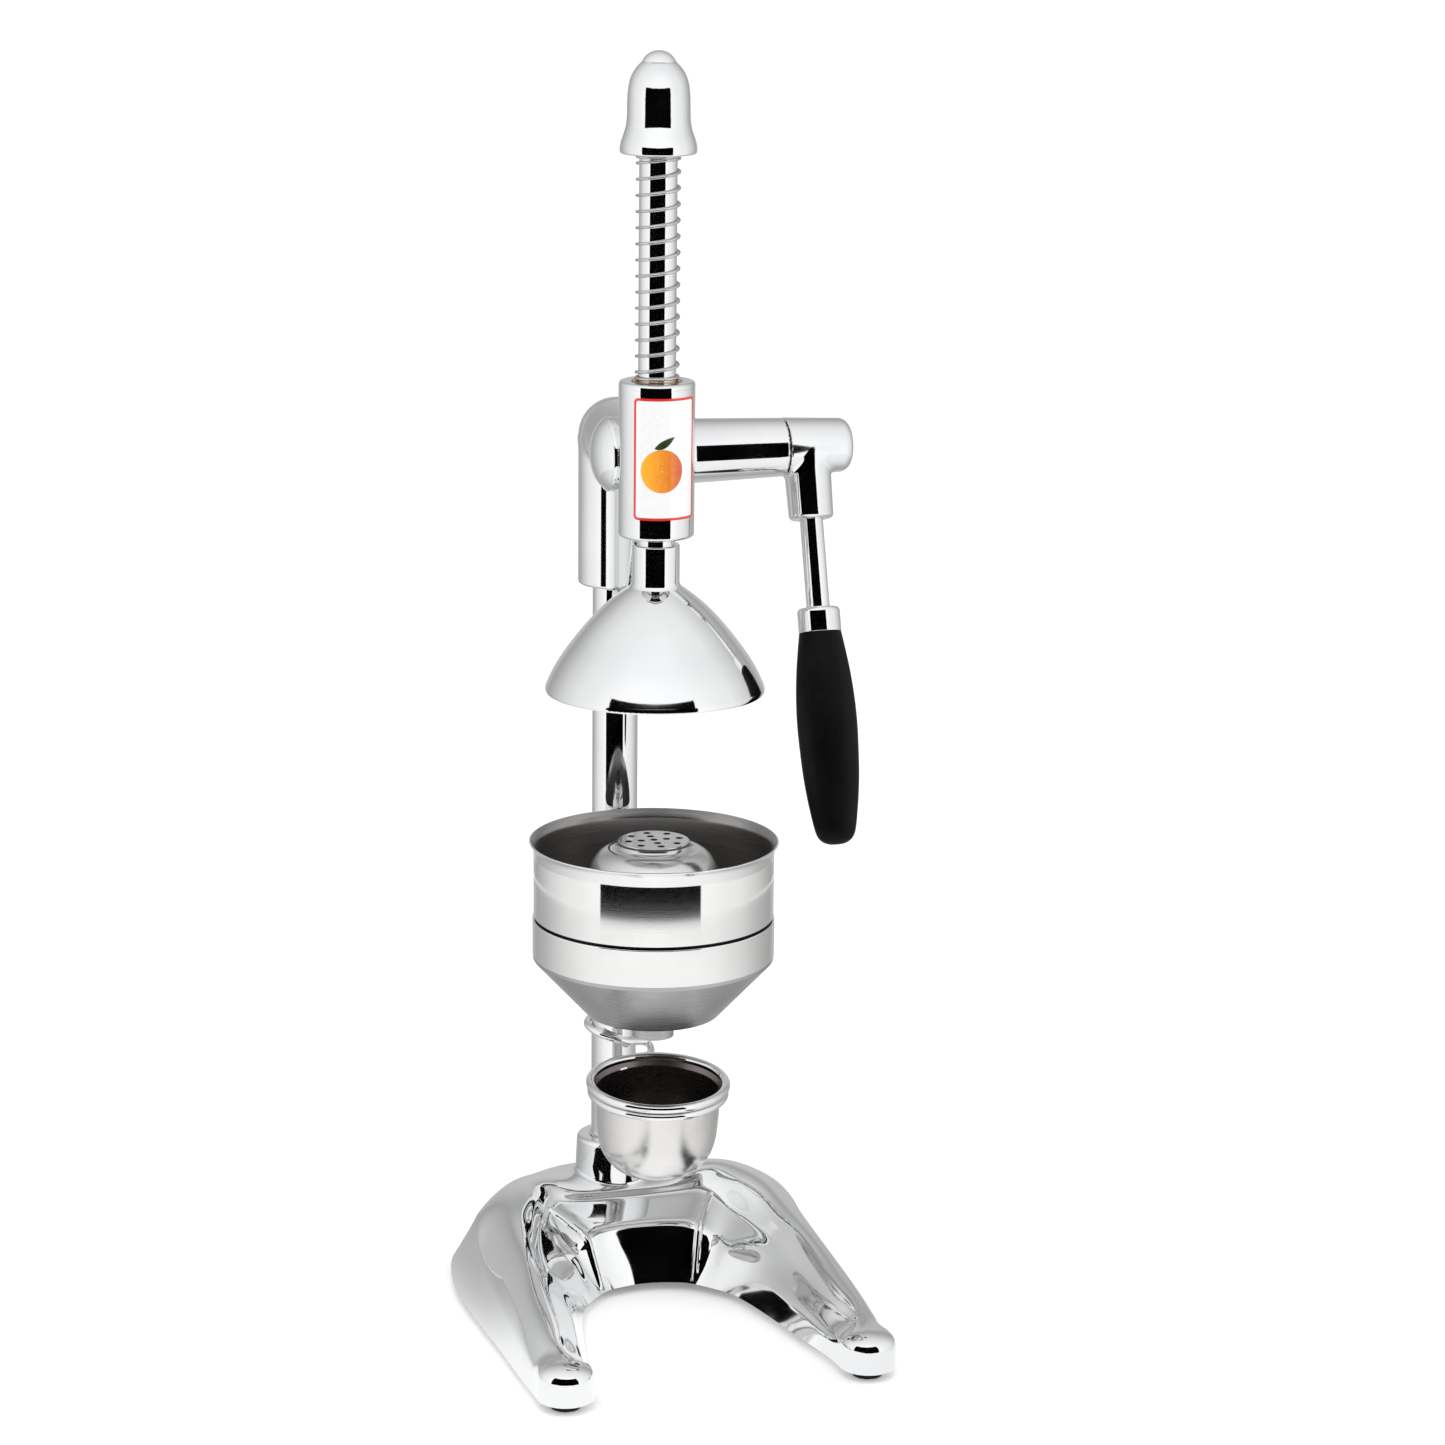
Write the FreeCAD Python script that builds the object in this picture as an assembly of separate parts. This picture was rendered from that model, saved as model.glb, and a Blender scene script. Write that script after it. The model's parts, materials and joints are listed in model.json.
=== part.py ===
import FreeCAD, Part
import math
import os

# Lever citrus press, in millimetres.
# Frame: +Z up, +X towards the lever, +Y towards the column, the front is -Y.
# Origin: on the surface the feet stand on, straight under the axis of the pressing ram.

V = FreeCAD.Vector
X_AXIS = V(1, 0, 0)
Y_AXIS = V(0, 1, 0)
Z_AXIS = V(0, 0, 1)

# ---------------------------------------------------------------- driving dimensions
COLUMN_R = 12.5
COLUMN_Y = 80.0
COLUMN_BOTTOM = 22.0
COLUMN_TOP = 452.0
COLUMN_CHAMFER = 1.0
COLUMN_BOLT_R = 6.0
COLUMN_BOLT_TOP = 50.0
COLUMN_BOLT_BORE_TOP = 54.0
COLUMN_BOLT_FLATS = 19.0
COLUMN_BOLT_HEAD = 7.0
COLUMN_WASHER_R = 12.0
WASHER_POCKET_R = 14.0

FOOT_HEIGHT = 5.0
FOOT_R = 8.2
FOOT_RECESS_R = 4.6
FOOT_RECESS = 1.8
FOOT_SCREW_R = 2.0
FOOT_SCREW_HEAD_R = 4.2
FOOT_SCREW_HEAD_BOTTOM = 0.4
FOOT_SCREW_DEPTH = 11.0
TOE_X = 81.6
TOE_Y = -128.7
TOE_R = 14.8
TOE_WALL_TOP = 17.0
TOE_CROWN = 25.6
REAR_FOOT_X = 62.0
REAR_FOOT_Y = 82.0
REAR_PAD_R = 10.0
REAR_PAD_TOP = 20.0
CASTING_WALL = 5.0
RIB_HALF_THICKNESS = 1.8
RIB_RISE = 2.5
RIB_TOP = V(46, 43, 42.6)
RIB_BEND_SHARE = 0.7
RIB_BEND_Z = 33.6
RIB_FOOT = V(26, 5, 5.5)

BOSS_R = 20.5
BOSS_FOOT_R = 21.3
BOSS_TOP = 70.0
BOSS_FLOOR = 14.0
BOSS_EDGE_R = 2.5
BASE_SCREW_Z = 58.0

SET_SCREW_R = 4.0
SET_SCREW_BORE = 14.0
SMALL_SCREW_R = 3.0
ARC_MIDDLE = 1 - math.sqrt(0.5)

SHAFT_Y = 22.0
SHAFT_Z = 466.8
SHAFT_R = 8.0
SHAFT_CLEARANCE = 0.05

BARREL_R = 20.0
BARREL_BOTTOM = 426.6
BARREL_TOP = 508.5
BUSH_R = 13.0
BUSH_LENGTH = 23.0
SOCKET_R = 20.5
SOCKET_BOTTOM = 385.5
GEAR_HOUSING_R = 19.2
GEAR_CHAMBER_R = 17.2
CAP_SEAT = -17.4
BUSH_LEFT = -15.0
CHAMBER_RIGHT = 10.5
ARM_START_R = 17.4
ARM_END_R = 15.6
ARM_END = 75.5
ARM_BORE_R = 10.5
END_CAP_R = 19.7
HEAD_SCREW_HEIGHTS = (402.0, 432.0)
BARREL_EDGE_R = 1.5
HOUSING_RIGHT = 16.0
WEB_HALF_THICKNESS = 6.0
WEB_OUTLINE = [(80, 388), (38, 388), (33, 393), (18, 432), (14, 466), (80, 466), (80, 388)]

RAM_R = 9.9
RAM_CLEARANCE = 0.05
RAM_BOTTOM = 395.0
RAM_TOP = 660.0
STUD_R = 5.0
STUD_LENGTH = 14.0
RAM_TAPPED_DEPTH = 25.0

GEAR_MODULE = 1.5
GEAR_TEETH = 20
PRESSURE_ANGLE = math.radians(20)
BACKLASH = 0.16
PINION_WIDTH = 16.0
RACK_TEETH_BELOW = 2
RACK_TEETH_ABOVE = 21
PINION_PIN_R = 2.0
PINION_PIN_LENGTH = 25.2
WASHER_R = 14.0
RETAINING_RING_R = 11.0

NECK_R = 12.6
NECK_TOP = 422.3
CONE_RIM_Z = 343.7
CONE_RIM_R = 58.0
CONE_SEAT_Z = 376.0
CONE_BOLT_FLATS = 16.0
CONE_BOLT_HEAD = 6.4

CAP_BOTTOM = 625.6
CAP_TOP = 671.9

SPRING_R = 10.95
SPRING_WIRE_R = 0.8
SPRING_COILS = 16

CUP_R = 64.2
CUP_WALL = 1.2
CUP_FOOT_R = 62.9
CUP_FLOOR = 212.0
CUP_BODY_BOTTOM = 221.0
CUP_RIM_R = 66.6
CUP_RIM_Z = 261.5
CUP_OPENING_R = 24.0
DRAIN_R = 2.0

FUNNEL_R = 64.8
FUNNEL_TOP = 219.5
FUNNEL_BAND_BOTTOM = 197.5
SPOUT_R = 11.3
SPOUT_BOTTOM = 152.8
SPOUT_WALL = 1.5
BRACKET_R = 18.5
BRACKET_BOTTOM = 190.0
BRACKET_TOP = 217.0
BRACKET_SCREW_Z = 203.0
SADDLE_HALF_WIDTH = 17.0
SADDLE_FRONT = 55.0
SADDLE_BOTTOM = 199.0
SADDLE_HEIGHT = 18.0
RIVET_X = 9.0
RIVET_Z = 206.0
RIVET_R = 2.5
RIVET_HEAD_R = 4.2

REAMER_TOP = 261.6
REAMER_DISC_R = 19.0
REAMER_FOOT_R = 37.6
REAMER_WALL = 1.5
SLOT_COUNT = 12
SLOT_WIDTH = 2.6
SLOT_BOTTOM = 226.0
SLOT_HEIGHT = 21.0

BOWL_X = 3.2
BOWL_Z = 125.2
BOWL_TILT_DEG = 4.41
BOWL_RIM_R = 36.65
BOWL_BEAD_R = 2.4
BOWL_WALL = 1.2
HOLDER_WIRE_R = 2.0
HOLDER_RING_R = 36.4
HOLDER_RING_DROP = 4.75
HOLDER_COIL_R = 14.8
HOLDER_LINK = [V(-1.7, 36.9, 123.3), V(3.6, 50, 123.6), V(17.0, 63.5, 121.6), V(17.5, 69, 123.8)]
COIL_HEIGHTS = [127.5, 130.0, 132.0, 133.6, 134.6, 135.4, 136.0, 136.5]
HOLDER_STEP_DEG = 30

LEVER_X = 88.65
LEVER_TILT_DEG = 17.45
HUB_START = 76.3
HUB_END = 112.3
HUB_R = 15.7
HUB_END_R = 14.2
HUB_BOSS_R = 12.2
HUB_BOSS_REACH = 39.4
ROD_R = 6.2
ROD_START = 18.0
ROD_END = 192.0
SHAFT_LEFT = -18.6
SHAFT_RIGHT = 100.0
FERRULE_R = 11.4
FERRULE_START = 86.3
GRIP_START = 99.6
GRIP_END = 212.7
GRIP_START_R = 11.2

LABEL_HALF_ANGLE = math.radians(52.5)
LABEL_BOTTOM = 437.2
LABEL_TOP = 505.6
LABEL_THICKNESS = 0.25


# ---------------------------------------------------------------- helpers
def cylinder(radius, start, direction, length):
    return Part.makeCylinder(radius, length, start, direction)


def along_z(radius, low, high, x=0.0, y=0.0):
    return cylinder(radius, V(x, y, low), Z_AXIS, high - low)


def along_x(radius, left, right):
    """A cylinder on the lever shaft's axis."""
    return cylinder(radius, V(left, SHAFT_Y, SHAFT_Z), X_AXIS, right - left)


def ring_z(inner, outer, low, high, x=0.0, y=0.0):
    return along_z(outer, low, high, x, y).cut(along_z(inner, low - 1, high + 1, x, y))


def spline_edge(points):
    curve = Part.BSplineCurve()
    curve.interpolate(points)
    return curve.toShape()


def lathe(*steps):
    """Turns a closed outline about the Z axis. Each step is a point (radius, height), a pair
    ("arc", middle, end) or a list of points that a smooth curve runs through."""
    here = V(steps[0][0], 0, steps[0][1])
    first = here
    edges = []
    for step in steps[1:]:
        if isinstance(step, list):
            points = [here] + [V(r, 0, z) for r, z in step]
            edges.append(spline_edge(points))
            here = points[-1]
        elif step[0] == "arc":
            middle = V(step[1][0], 0, step[1][1])
            end = V(step[2][0], 0, step[2][1])
            edges.append(Part.Arc(here, middle, end).toShape())
            here = end
        else:
            end = V(step[0], 0, step[1])
            edges.append(Part.makeLine(here, end))
            here = end
    if here.distanceToPoint(first) > 1e-6:
        edges.append(Part.makeLine(here, first))
    face = Part.Face(Part.Wire(edges))
    return face.revolve(V(0, 0, 0), Z_AXIS, 360)


def to_shaft(shape, x=0.0):
    """Carries a turned shape so that its axis lies on the shaft and its +Z points to +X."""
    placed = shape.copy()
    placed.rotate(V(0, 0, 0), Y_AXIS, 90)
    placed.translate(V(x, SHAFT_Y, SHAFT_Z))
    return placed


def to_lever(shape):
    """Carries a shape whose +Z runs out along the lever from the shaft's axis."""
    placed = shape.copy()
    placed.rotate(V(0, 0, 0), X_AXIS, 180 - LEVER_TILT_DEG)
    placed.translate(V(LEVER_X, SHAFT_Y, SHAFT_Z))
    return placed


def to_bowl(shape):
    """Carries a turned shape into the drip bowl's tilted frame, whose plane z = 0 holds the rim."""
    placed = shape.copy()
    placed.rotate(V(0, 0, 0), X_AXIS, BOWL_TILT_DEG)
    placed.translate(V(BOWL_X, 0, BOWL_Z))
    return placed


def hexagon(across_flats, start, direction, length):
    circle_r = across_flats / math.sqrt(3)
    corners = []
    for i in range(7):
        angle = math.radians(60 * i)
        corners.append(V(circle_r * math.cos(angle), circle_r * math.sin(angle), 0))
    prism = Part.Face(Part.makePolygon(corners)).extrude(V(0, 0, length))
    prism.Placement = FreeCAD.Placement(start, FreeCAD.Rotation(Z_AXIS, direction))
    return prism


def rounded_path(points, share=0.45):
    """Straight runs joined by tangent arcs, each as large as its two runs allow."""
    edges = []
    here = points[0]
    for i in range(1, len(points) - 1):
        before = points[i].sub(points[i - 1])
        after = points[i + 1].sub(points[i])
        cut = share * min(before.Length, after.Length)
        into = V(before).normalize()
        out = V(after).normalize()
        start = points[i].sub(into * cut)
        end = points[i].add(out * cut)
        half_turn = into.getAngle(out) / 2
        radius = cut / math.tan(half_turn)
        inward = out.sub(into).normalize()
        centre = points[i].add(inward * (radius / math.cos(half_turn)))
        middle = centre.add(points[i].sub(centre).normalize() * radius)
        edges.append(Part.makeLine(here, start))
        edges.append(Part.Arc(start, middle, end).toShape())
        here = end
    edges.append(Part.makeLine(here, points[-1]))
    return Part.Wire(edges)


def round_wire(points, radius):
    """Round bar bent along a path, with flat ends."""
    path = rounded_path(points)
    direction = points[1].sub(points[0])
    section = Part.Wire(Part.makeCircle(radius, points[0], direction))
    return path.makePipeShell([section], True, True)


def set_screw(radius, tip, direction, length):
    """A headless screw with a hexagonal socket in its outer end."""
    body = cylinder(radius, tip, direction, length)
    outward = V(direction).normalize()
    socket_start = tip.add(outward * (length * 0.55))
    return body.cut(hexagon(radius, socket_start, outward, length))


# ---------------------------------------------------------------- base casting
# Sections of the horseshoe from the right toe to the middle of the back, each with its outer
# bottom edge, outer crease, crest, groove lip, groove, ledge edge and inner bottom edge.
BASE_SECTIONS = [
    [(96.4, -128.7, 5), (96.4, -128.7, 17), (81.6, -128.7, 25.6), (76, -128.7, 24.8),
     (71, -128.7, 22.8), (66.8, -128.7, 17), (66.8, -128.7, 5)],
    [(97.1, -116, 5), (95.5, -116, 18), (85.5, -116, 27), (79.5, -116, 26),
     (77, -116, 22.6), (66.2, -116, 16), (65.4, -116, 5)],
    [(98.2, -95, 5), (95, -95, 20), (86.5, -95, 31), (77.8, -95, 28.5),
     (74.8, -95, 23.8), (64.6, -95, 16.5), (61, -95, 5)],
    [(99.3, -60, 5), (94, -60, 23), (85, -60, 37), (74.2, -60, 33),
     (71, -60, 27), (60, -60, 18.5), (53.6, -60, 5)],
    [(101.5, -20, 5), (93, -20, 28), (81, -20, 45), (70, -20, 40),
     (66, -20, 32.6), (53.5, -20, 21), (43.5, -20, 5)],
    [(102.6, 16, 5), (91, 18, 37), (77, 16, 51), (64.5, 12, 46),
     (60.3, 10, 35.3), (42.5, 1, 24), (34.5, -5, 5)],
    [(100.6, 46, 5), (87, 42, 43.5), (70, 40, 55.5), (57.5, 32, 51.5),
     (53, 33, 39), (39, 13, 28), (28.5, 2, 5)],
    [(92, 82, 5), (79, 69, 35), (61, 58, 55.5), (49, 48, 50.5),
     (44, 45, 43), (31.5, 16.5, 33.5), (23, 7, 5)],
    [(70, 102, 5), (61, 89, 35), (44, 75, 52), (34, 54, 47),
     (32.5, 50, 42), (22.5, 20.5, 36), (16, 10, 5)],
    [(38, 112, 5), (34, 103, 39), (25, 89, 49), (18, 55, 45.8),
     (17, 51.5, 41), (11.5, 22.3, 36.5), (8, 12, 5)],
    [(0, 115, 5), (0, 107, 40), (0, 93, 48.5), (0, 56, 45.5),
     (0, 52, 40.5), (0, 22.8, 36.5), (0, 12.7, 5)],
]

def mirrored_sections():
    right = [[V(*p) for p in section] for section in BASE_SECTIONS]
    left = [[V(-p.x, p.y, p.z) for p in section] for section in right[:-1]]
    return right + left[::-1]


def run_parameters(sections):
    """How far along the horseshoe each section stands, measured along the crest."""
    distances = [0.0]
    for before, after in zip(sections, sections[1:]):
        distances.append(distances[-1] + after[2].distanceToPoint(before[2]))
    return [d / distances[-1] for d in distances]


def run_curve(points, parameters):
    curve = Part.BSplineCurve()
    curve.interpolate(Points=points, Parameters=parameters)
    return curve


def crown_surface(crease, crest, lip, parameters):
    """The rounded rim: parabolas from crease to lip that pass through the crest half way."""
    poles = []
    for b, c, g in zip(crease, crest, lip):
        poles.append(c * 2 - (b + g) * 0.5)
    rows = [run_curve(points, parameters) for points in (crease, poles, lip)]
    surface = Part.BSplineSurface()
    surface.buildFromPolesMultsKnots(
        [row.getPoles() for row in rows],
        [3, 3], rows[0].getMultiplicities(),
        [0, 1], rows[0].getKnots(),
        False, False, 2, rows[0].Degree,
    )
    return surface


def horseshoe():
    """The outer skin of the two legs and the bridge between them, as one closed solid."""
    sections = mirrored_sections()
    parameters = run_parameters(sections)
    lines = [[section[i] for section in sections] for i in range(7)]
    outer, crease, crest, lip, groove, ledge, inner = lines
    faces = [crown_surface(crease, crest, lip, parameters).toShape()]
    for one, other in ((outer, crease), (lip, groove), (groove, ledge), (ledge, inner), (inner, outer)):
        first = run_curve(one, parameters).toShape()
        second = run_curve(other, parameters).toShape()
        faces.append(Part.makeRuledSurface(first, second))
    for section in (sections[0], sections[-1]):
        a, b, c, g, d, e, f = section
        crown = Part.BezierCurve()
        crown.setPoles([b, c * 2 - (b + g) * 0.5, g])
        wire = Part.Wire([crown.toShape()] + Part.makePolygon([g, d, e, f, a, b]).Edges)
        faces.append(Part.Face(wire))
    skin = Part.makeShell(faces)
    skin.sewShape()
    return Part.makeSolid(Part.Shell(skin.Faces))


def cavity_section(points):
    """The hollow under the casting, one wall thickness inside a section."""
    outer, crease, crest, _, groove, ledge, inner = points
    across = V(outer.x - inner.x, outer.y - inner.y, 0).normalize()
    wall = CASTING_WALL
    below = FOOT_HEIGHT - 1
    corners = [
        V(outer.x, outer.y, below).sub(across * wall),
        crease.sub(across * (wall + 1)).sub(V(0, 0, wall)),
        crest.sub(V(0, 0, wall + 1)),
        groove.sub(V(0, 0, wall)),
        ledge.add(across * (wall - 0.5)).sub(V(0, 0, wall)),
        V(inner.x, inner.y, below).add(across * (wall + 1)),
    ]
    return Part.makePolygon(corners + [corners[0]])


def rib(side):
    """A bent blade proud of the front panel, from the groove over the ledge to the inner edge."""
    top, foot = [V(side * p.x, p.y, p.z) for p in (RIB_TOP, RIB_FOOT)]
    bend = top.add(foot.sub(top) * RIB_BEND_SHARE)
    bend.z = RIB_BEND_Z
    forward = V(foot.x - top.x, foot.y - top.y, 0).normalize()
    rise = Z_AXIS * RIB_RISE
    depth = Z_AXIS * CASTING_WALL
    outline = [
        top.add(rise),
        bend.add(rise).add(forward * (RIB_RISE / 2)),
        foot.add(forward * (RIB_RISE / 2)),
        foot.sub(forward * CASTING_WALL),
        bend.sub(depth).sub(forward * (CASTING_WALL / 2)),
        top.sub(depth),
    ]
    sideways = V(forward.y, -forward.x, 0) * RIB_HALF_THICKNESS
    face = Part.Face(Part.makePolygon([p.sub(sideways) for p in outline + outline[:1]]))
    return face.extrude(sideways * 2)


def foot_places():
    places = []
    for side in (1, -1):
        places.append((side * TOE_X, TOE_Y))
        places.append((side * REAR_FOOT_X, REAR_FOOT_Y))
    return places


def make_base():
    sections = mirrored_sections()
    body = horseshoe()
    toe_profile = lathe(
        (0, FOOT_HEIGHT),
        (TOE_R, FOOT_HEIGHT),
        (TOE_R, TOE_WALL_TOP),
        [(10.6, 22.8), (5.6, 24.8), (0, TOE_CROWN)],
    )
    for side in (1, -1):
        toe = toe_profile.copy()
        toe.translate(V(side * TOE_X, TOE_Y, 0))
        body = body.fuse([toe, rib(side)])
    near_toe = []
    for p, q in zip(sections[1], sections[2]):
        near_toe.append(p.add(q) * 0.5)
    hollow = [near_toe] + sections[2:-2]
    hollow.append([V(-p.x, p.y, p.z) for p in near_toe])
    cavity = Part.makeLoft([cavity_section(s) for s in hollow], True, True)
    body = body.cut(cavity)
    corner = BOSS_EDGE_R * ARC_MIDDLE
    boss = lathe(
        (0, FOOT_HEIGHT),
        (BOSS_FOOT_R, FOOT_HEIGHT),
        (BOSS_FOOT_R, 40),
        (BOSS_R, BOSS_TOP - BOSS_EDGE_R),
        ("arc", (BOSS_R - corner, BOSS_TOP - corner), (BOSS_R - BOSS_EDGE_R, BOSS_TOP)),
        (0, BOSS_TOP),
    )
    boss.translate(V(0, COLUMN_Y, 0))
    pads = []
    for side in (1, -1):
        pads.append(along_z(REAR_PAD_R, FOOT_HEIGHT, REAR_PAD_TOP, side * REAR_FOOT_X, REAR_FOOT_Y))
    body = body.fuse([boss] + pads)
    cuts = [
        along_z(COLUMN_R, COLUMN_BOTTOM, BOSS_TOP + 1, 0, COLUMN_Y),
        along_z(COLUMN_BOLT_R, BOSS_FLOOR - 1, COLUMN_BOTTOM + 1, 0, COLUMN_Y),
        along_z(WASHER_POCKET_R, FOOT_HEIGHT - 1, BOSS_FLOOR, 0, COLUMN_Y),
        cylinder(SET_SCREW_R, V(0, COLUMN_Y + COLUMN_R - 1, BASE_SCREW_Z), Y_AXIS, SET_SCREW_BORE),
    ]
    for x, y in foot_places():
        cuts.append(along_z(FOOT_SCREW_R, FOOT_HEIGHT - 1, FOOT_HEIGHT + FOOT_SCREW_DEPTH, x, y))
    return body.cut(cuts)


def make_rubber_feet():
    feet = []
    for x, y in foot_places():
        foot = lathe(
            (FOOT_SCREW_R, FOOT_RECESS),
            (FOOT_RECESS_R, FOOT_RECESS),
            (FOOT_RECESS_R, 0),
            (FOOT_R - 0.8, 0),
            ("arc", (FOOT_R - 0.23, 0.23), (FOOT_R, 0.8)),
            (FOOT_R, FOOT_HEIGHT),
            (FOOT_SCREW_R, FOOT_HEIGHT),
        )
        foot.translate(V(x, y, 0))
        feet.append(foot)
    return Part.makeCompound(feet)


def make_foot_screws():
    screws = []
    for x, y in foot_places():
        head = along_z(FOOT_SCREW_HEAD_R, FOOT_SCREW_HEAD_BOTTOM, FOOT_RECESS, x, y)
        shank = along_z(FOOT_SCREW_R, FOOT_RECESS, FOOT_HEIGHT + FOOT_SCREW_DEPTH, x, y)
        slot = Part.makeBox(9, 0.9, 0.6, V(x - 4.5, y - 0.45, FOOT_SCREW_HEAD_BOTTOM))
        screws.append(head.fuse(shank).cut(slot))
    return Part.makeCompound(screws)


# ---------------------------------------------------------------- column and its fixings
def make_column():
    bar = along_z(COLUMN_R, COLUMN_BOTTOM, COLUMN_TOP, 0, COLUMN_Y)
    rims = [edge for edge in bar.Edges if edge.Curve.TypeId == "Part::GeomCircle"]
    bar = bar.makeChamfer(COLUMN_CHAMFER, rims)
    return bar.cut(along_z(COLUMN_BOLT_R, COLUMN_BOTTOM - 1, COLUMN_BOLT_BORE_TOP, 0, COLUMN_Y))


def make_column_bolt():
    head = hexagon(COLUMN_BOLT_FLATS, V(0, COLUMN_Y, FOOT_HEIGHT), Z_AXIS, COLUMN_BOLT_HEAD)
    shank = along_z(COLUMN_BOLT_R, FOOT_HEIGHT + COLUMN_BOLT_HEAD, COLUMN_BOLT_TOP, 0, COLUMN_Y)
    return head.fuse(shank)


def make_column_washer():
    low = FOOT_HEIGHT + COLUMN_BOLT_HEAD
    return ring_z(COLUMN_BOLT_R, COLUMN_WASHER_R, low, BOSS_FLOOR, 0, COLUMN_Y)


def make_base_set_screw():
    return set_screw(SET_SCREW_R, V(0, COLUMN_Y + COLUMN_R, BASE_SCREW_Z), Y_AXIS, 7.5)


# ---------------------------------------------------------------- funnel and its bracket
def make_cup_bracket():
    sleeve = along_z(BRACKET_R, BRACKET_BOTTOM, BRACKET_TOP, 0, COLUMN_Y)
    saddle = Part.makeBox(
        2 * SADDLE_HALF_WIDTH, COLUMN_Y - SADDLE_FRONT, SADDLE_HEIGHT,
        V(-SADDLE_HALF_WIDTH, SADDLE_FRONT, SADDLE_BOTTOM))
    body = sleeve.fuse(saddle)
    cuts = [
        along_z(FUNNEL_R, BRACKET_BOTTOM - 1, BRACKET_TOP + 1),
        along_z(COLUMN_R, BRACKET_BOTTOM - 1, BRACKET_TOP + 1, 0, COLUMN_Y),
        cylinder(SMALL_SCREW_R, V(0, COLUMN_Y + COLUMN_R - 1, BRACKET_SCREW_Z), Y_AXIS, 9),
    ]
    for side in (1, -1):
        cuts.append(cylinder(RIVET_R, V(side * RIVET_X, 50, RIVET_Z), Y_AXIS, 16))
    return body.cut(cuts)


def make_bracket_screw():
    return set_screw(SMALL_SCREW_R, V(0, COLUMN_Y + COLUMN_R, BRACKET_SCREW_Z), Y_AXIS, 7.0)


def make_bracket_rivets():
    rivets = []
    for side in (1, -1):
        x = side * RIVET_X
        shank = cylinder(RIVET_R, V(x, 58.5, RIVET_Z), Y_AXIS, 7.5)
        head = cylinder(RIVET_HEAD_R, V(x, 57.2, RIVET_Z), Y_AXIS, 1.8)
        rivets.append(shank.fuse(head))
    return Part.makeCompound(rivets)


def make_funnel():
    body = lathe(
        (63.2, FUNNEL_TOP),
        (FUNNEL_R, FUNNEL_TOP),
        (FUNNEL_R, FUNNEL_BAND_BOTTOM),
        (36.8, 167.6),
        ("arc", (35.8, 166.5), (34.4, 166.0)),
        (13.3, 164.6),
        ("arc", (11.9, 164.0), (SPOUT_R, 162.6)),
        (SPOUT_R, SPOUT_BOTTOM),
        (SPOUT_R - SPOUT_WALL, SPOUT_BOTTOM),
        (SPOUT_R - SPOUT_WALL, 165.8),
        (33.6, 167.8),
        (60.8, 198.6),
        (60.8, CUP_FLOOR),
        (63.2, CUP_FLOOR),
    )
    holes = []
    for side in (1, -1):
        holes.append(cylinder(RIVET_R, V(side * RIVET_X, 50, RIVET_Z), Y_AXIS, 16))
        holes.append(cylinder(RIVET_HEAD_R, V(side * RIVET_X, 50, RIVET_Z), Y_AXIS, 9.0))
    return body.cut(holes)


# ---------------------------------------------------------------- strainer cup and reamer
def ring_of_holes(count, pitch_r, hole_r, low, high):
    holes = []
    for i in range(count):
        angle = 2 * math.pi * i / count
        x = pitch_r * math.cos(angle)
        y = pitch_r * math.sin(angle)
        holes.append(along_z(hole_r, low, high, x, y))
    return holes


def make_strainer_cup():
    inner_r = CUP_R - CUP_WALL
    body = lathe(
        (0, CUP_FLOOR),
        (CUP_FOOT_R, CUP_FLOOR),
        (CUP_FOOT_R, CUP_BODY_BOTTOM),
        (CUP_R, CUP_BODY_BOTTOM),
        (CUP_R, CUP_RIM_Z - 5),
        [(CUP_R + 0.7, CUP_RIM_Z - 2.4), (CUP_RIM_R, CUP_RIM_Z - 0.5)],
        ("arc", (CUP_RIM_R - 0.1, CUP_RIM_Z + 0.1), (CUP_RIM_R - 0.9, CUP_RIM_Z)),
        [(inner_r + 1.0, CUP_RIM_Z - 2.2), (inner_r, CUP_RIM_Z - 5.2)],
        (inner_r, CUP_BODY_BOTTOM + CUP_WALL),
        (CUP_FOOT_R - CUP_WALL, CUP_BODY_BOTTOM),
        (CUP_FOOT_R - CUP_WALL, CUP_FLOOR + CUP_WALL),
        (0, CUP_FLOOR + CUP_WALL),
    )
    low = CUP_FLOOR - 1
    high = CUP_FLOOR + CUP_WALL + 1
    holes = ring_of_holes(30, 55.0, DRAIN_R, low, high)
    holes += ring_of_holes(26, 47.0, DRAIN_R, low, high)
    holes.append(along_z(CUP_OPENING_R, low, high))
    return body.cut(holes)


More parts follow.
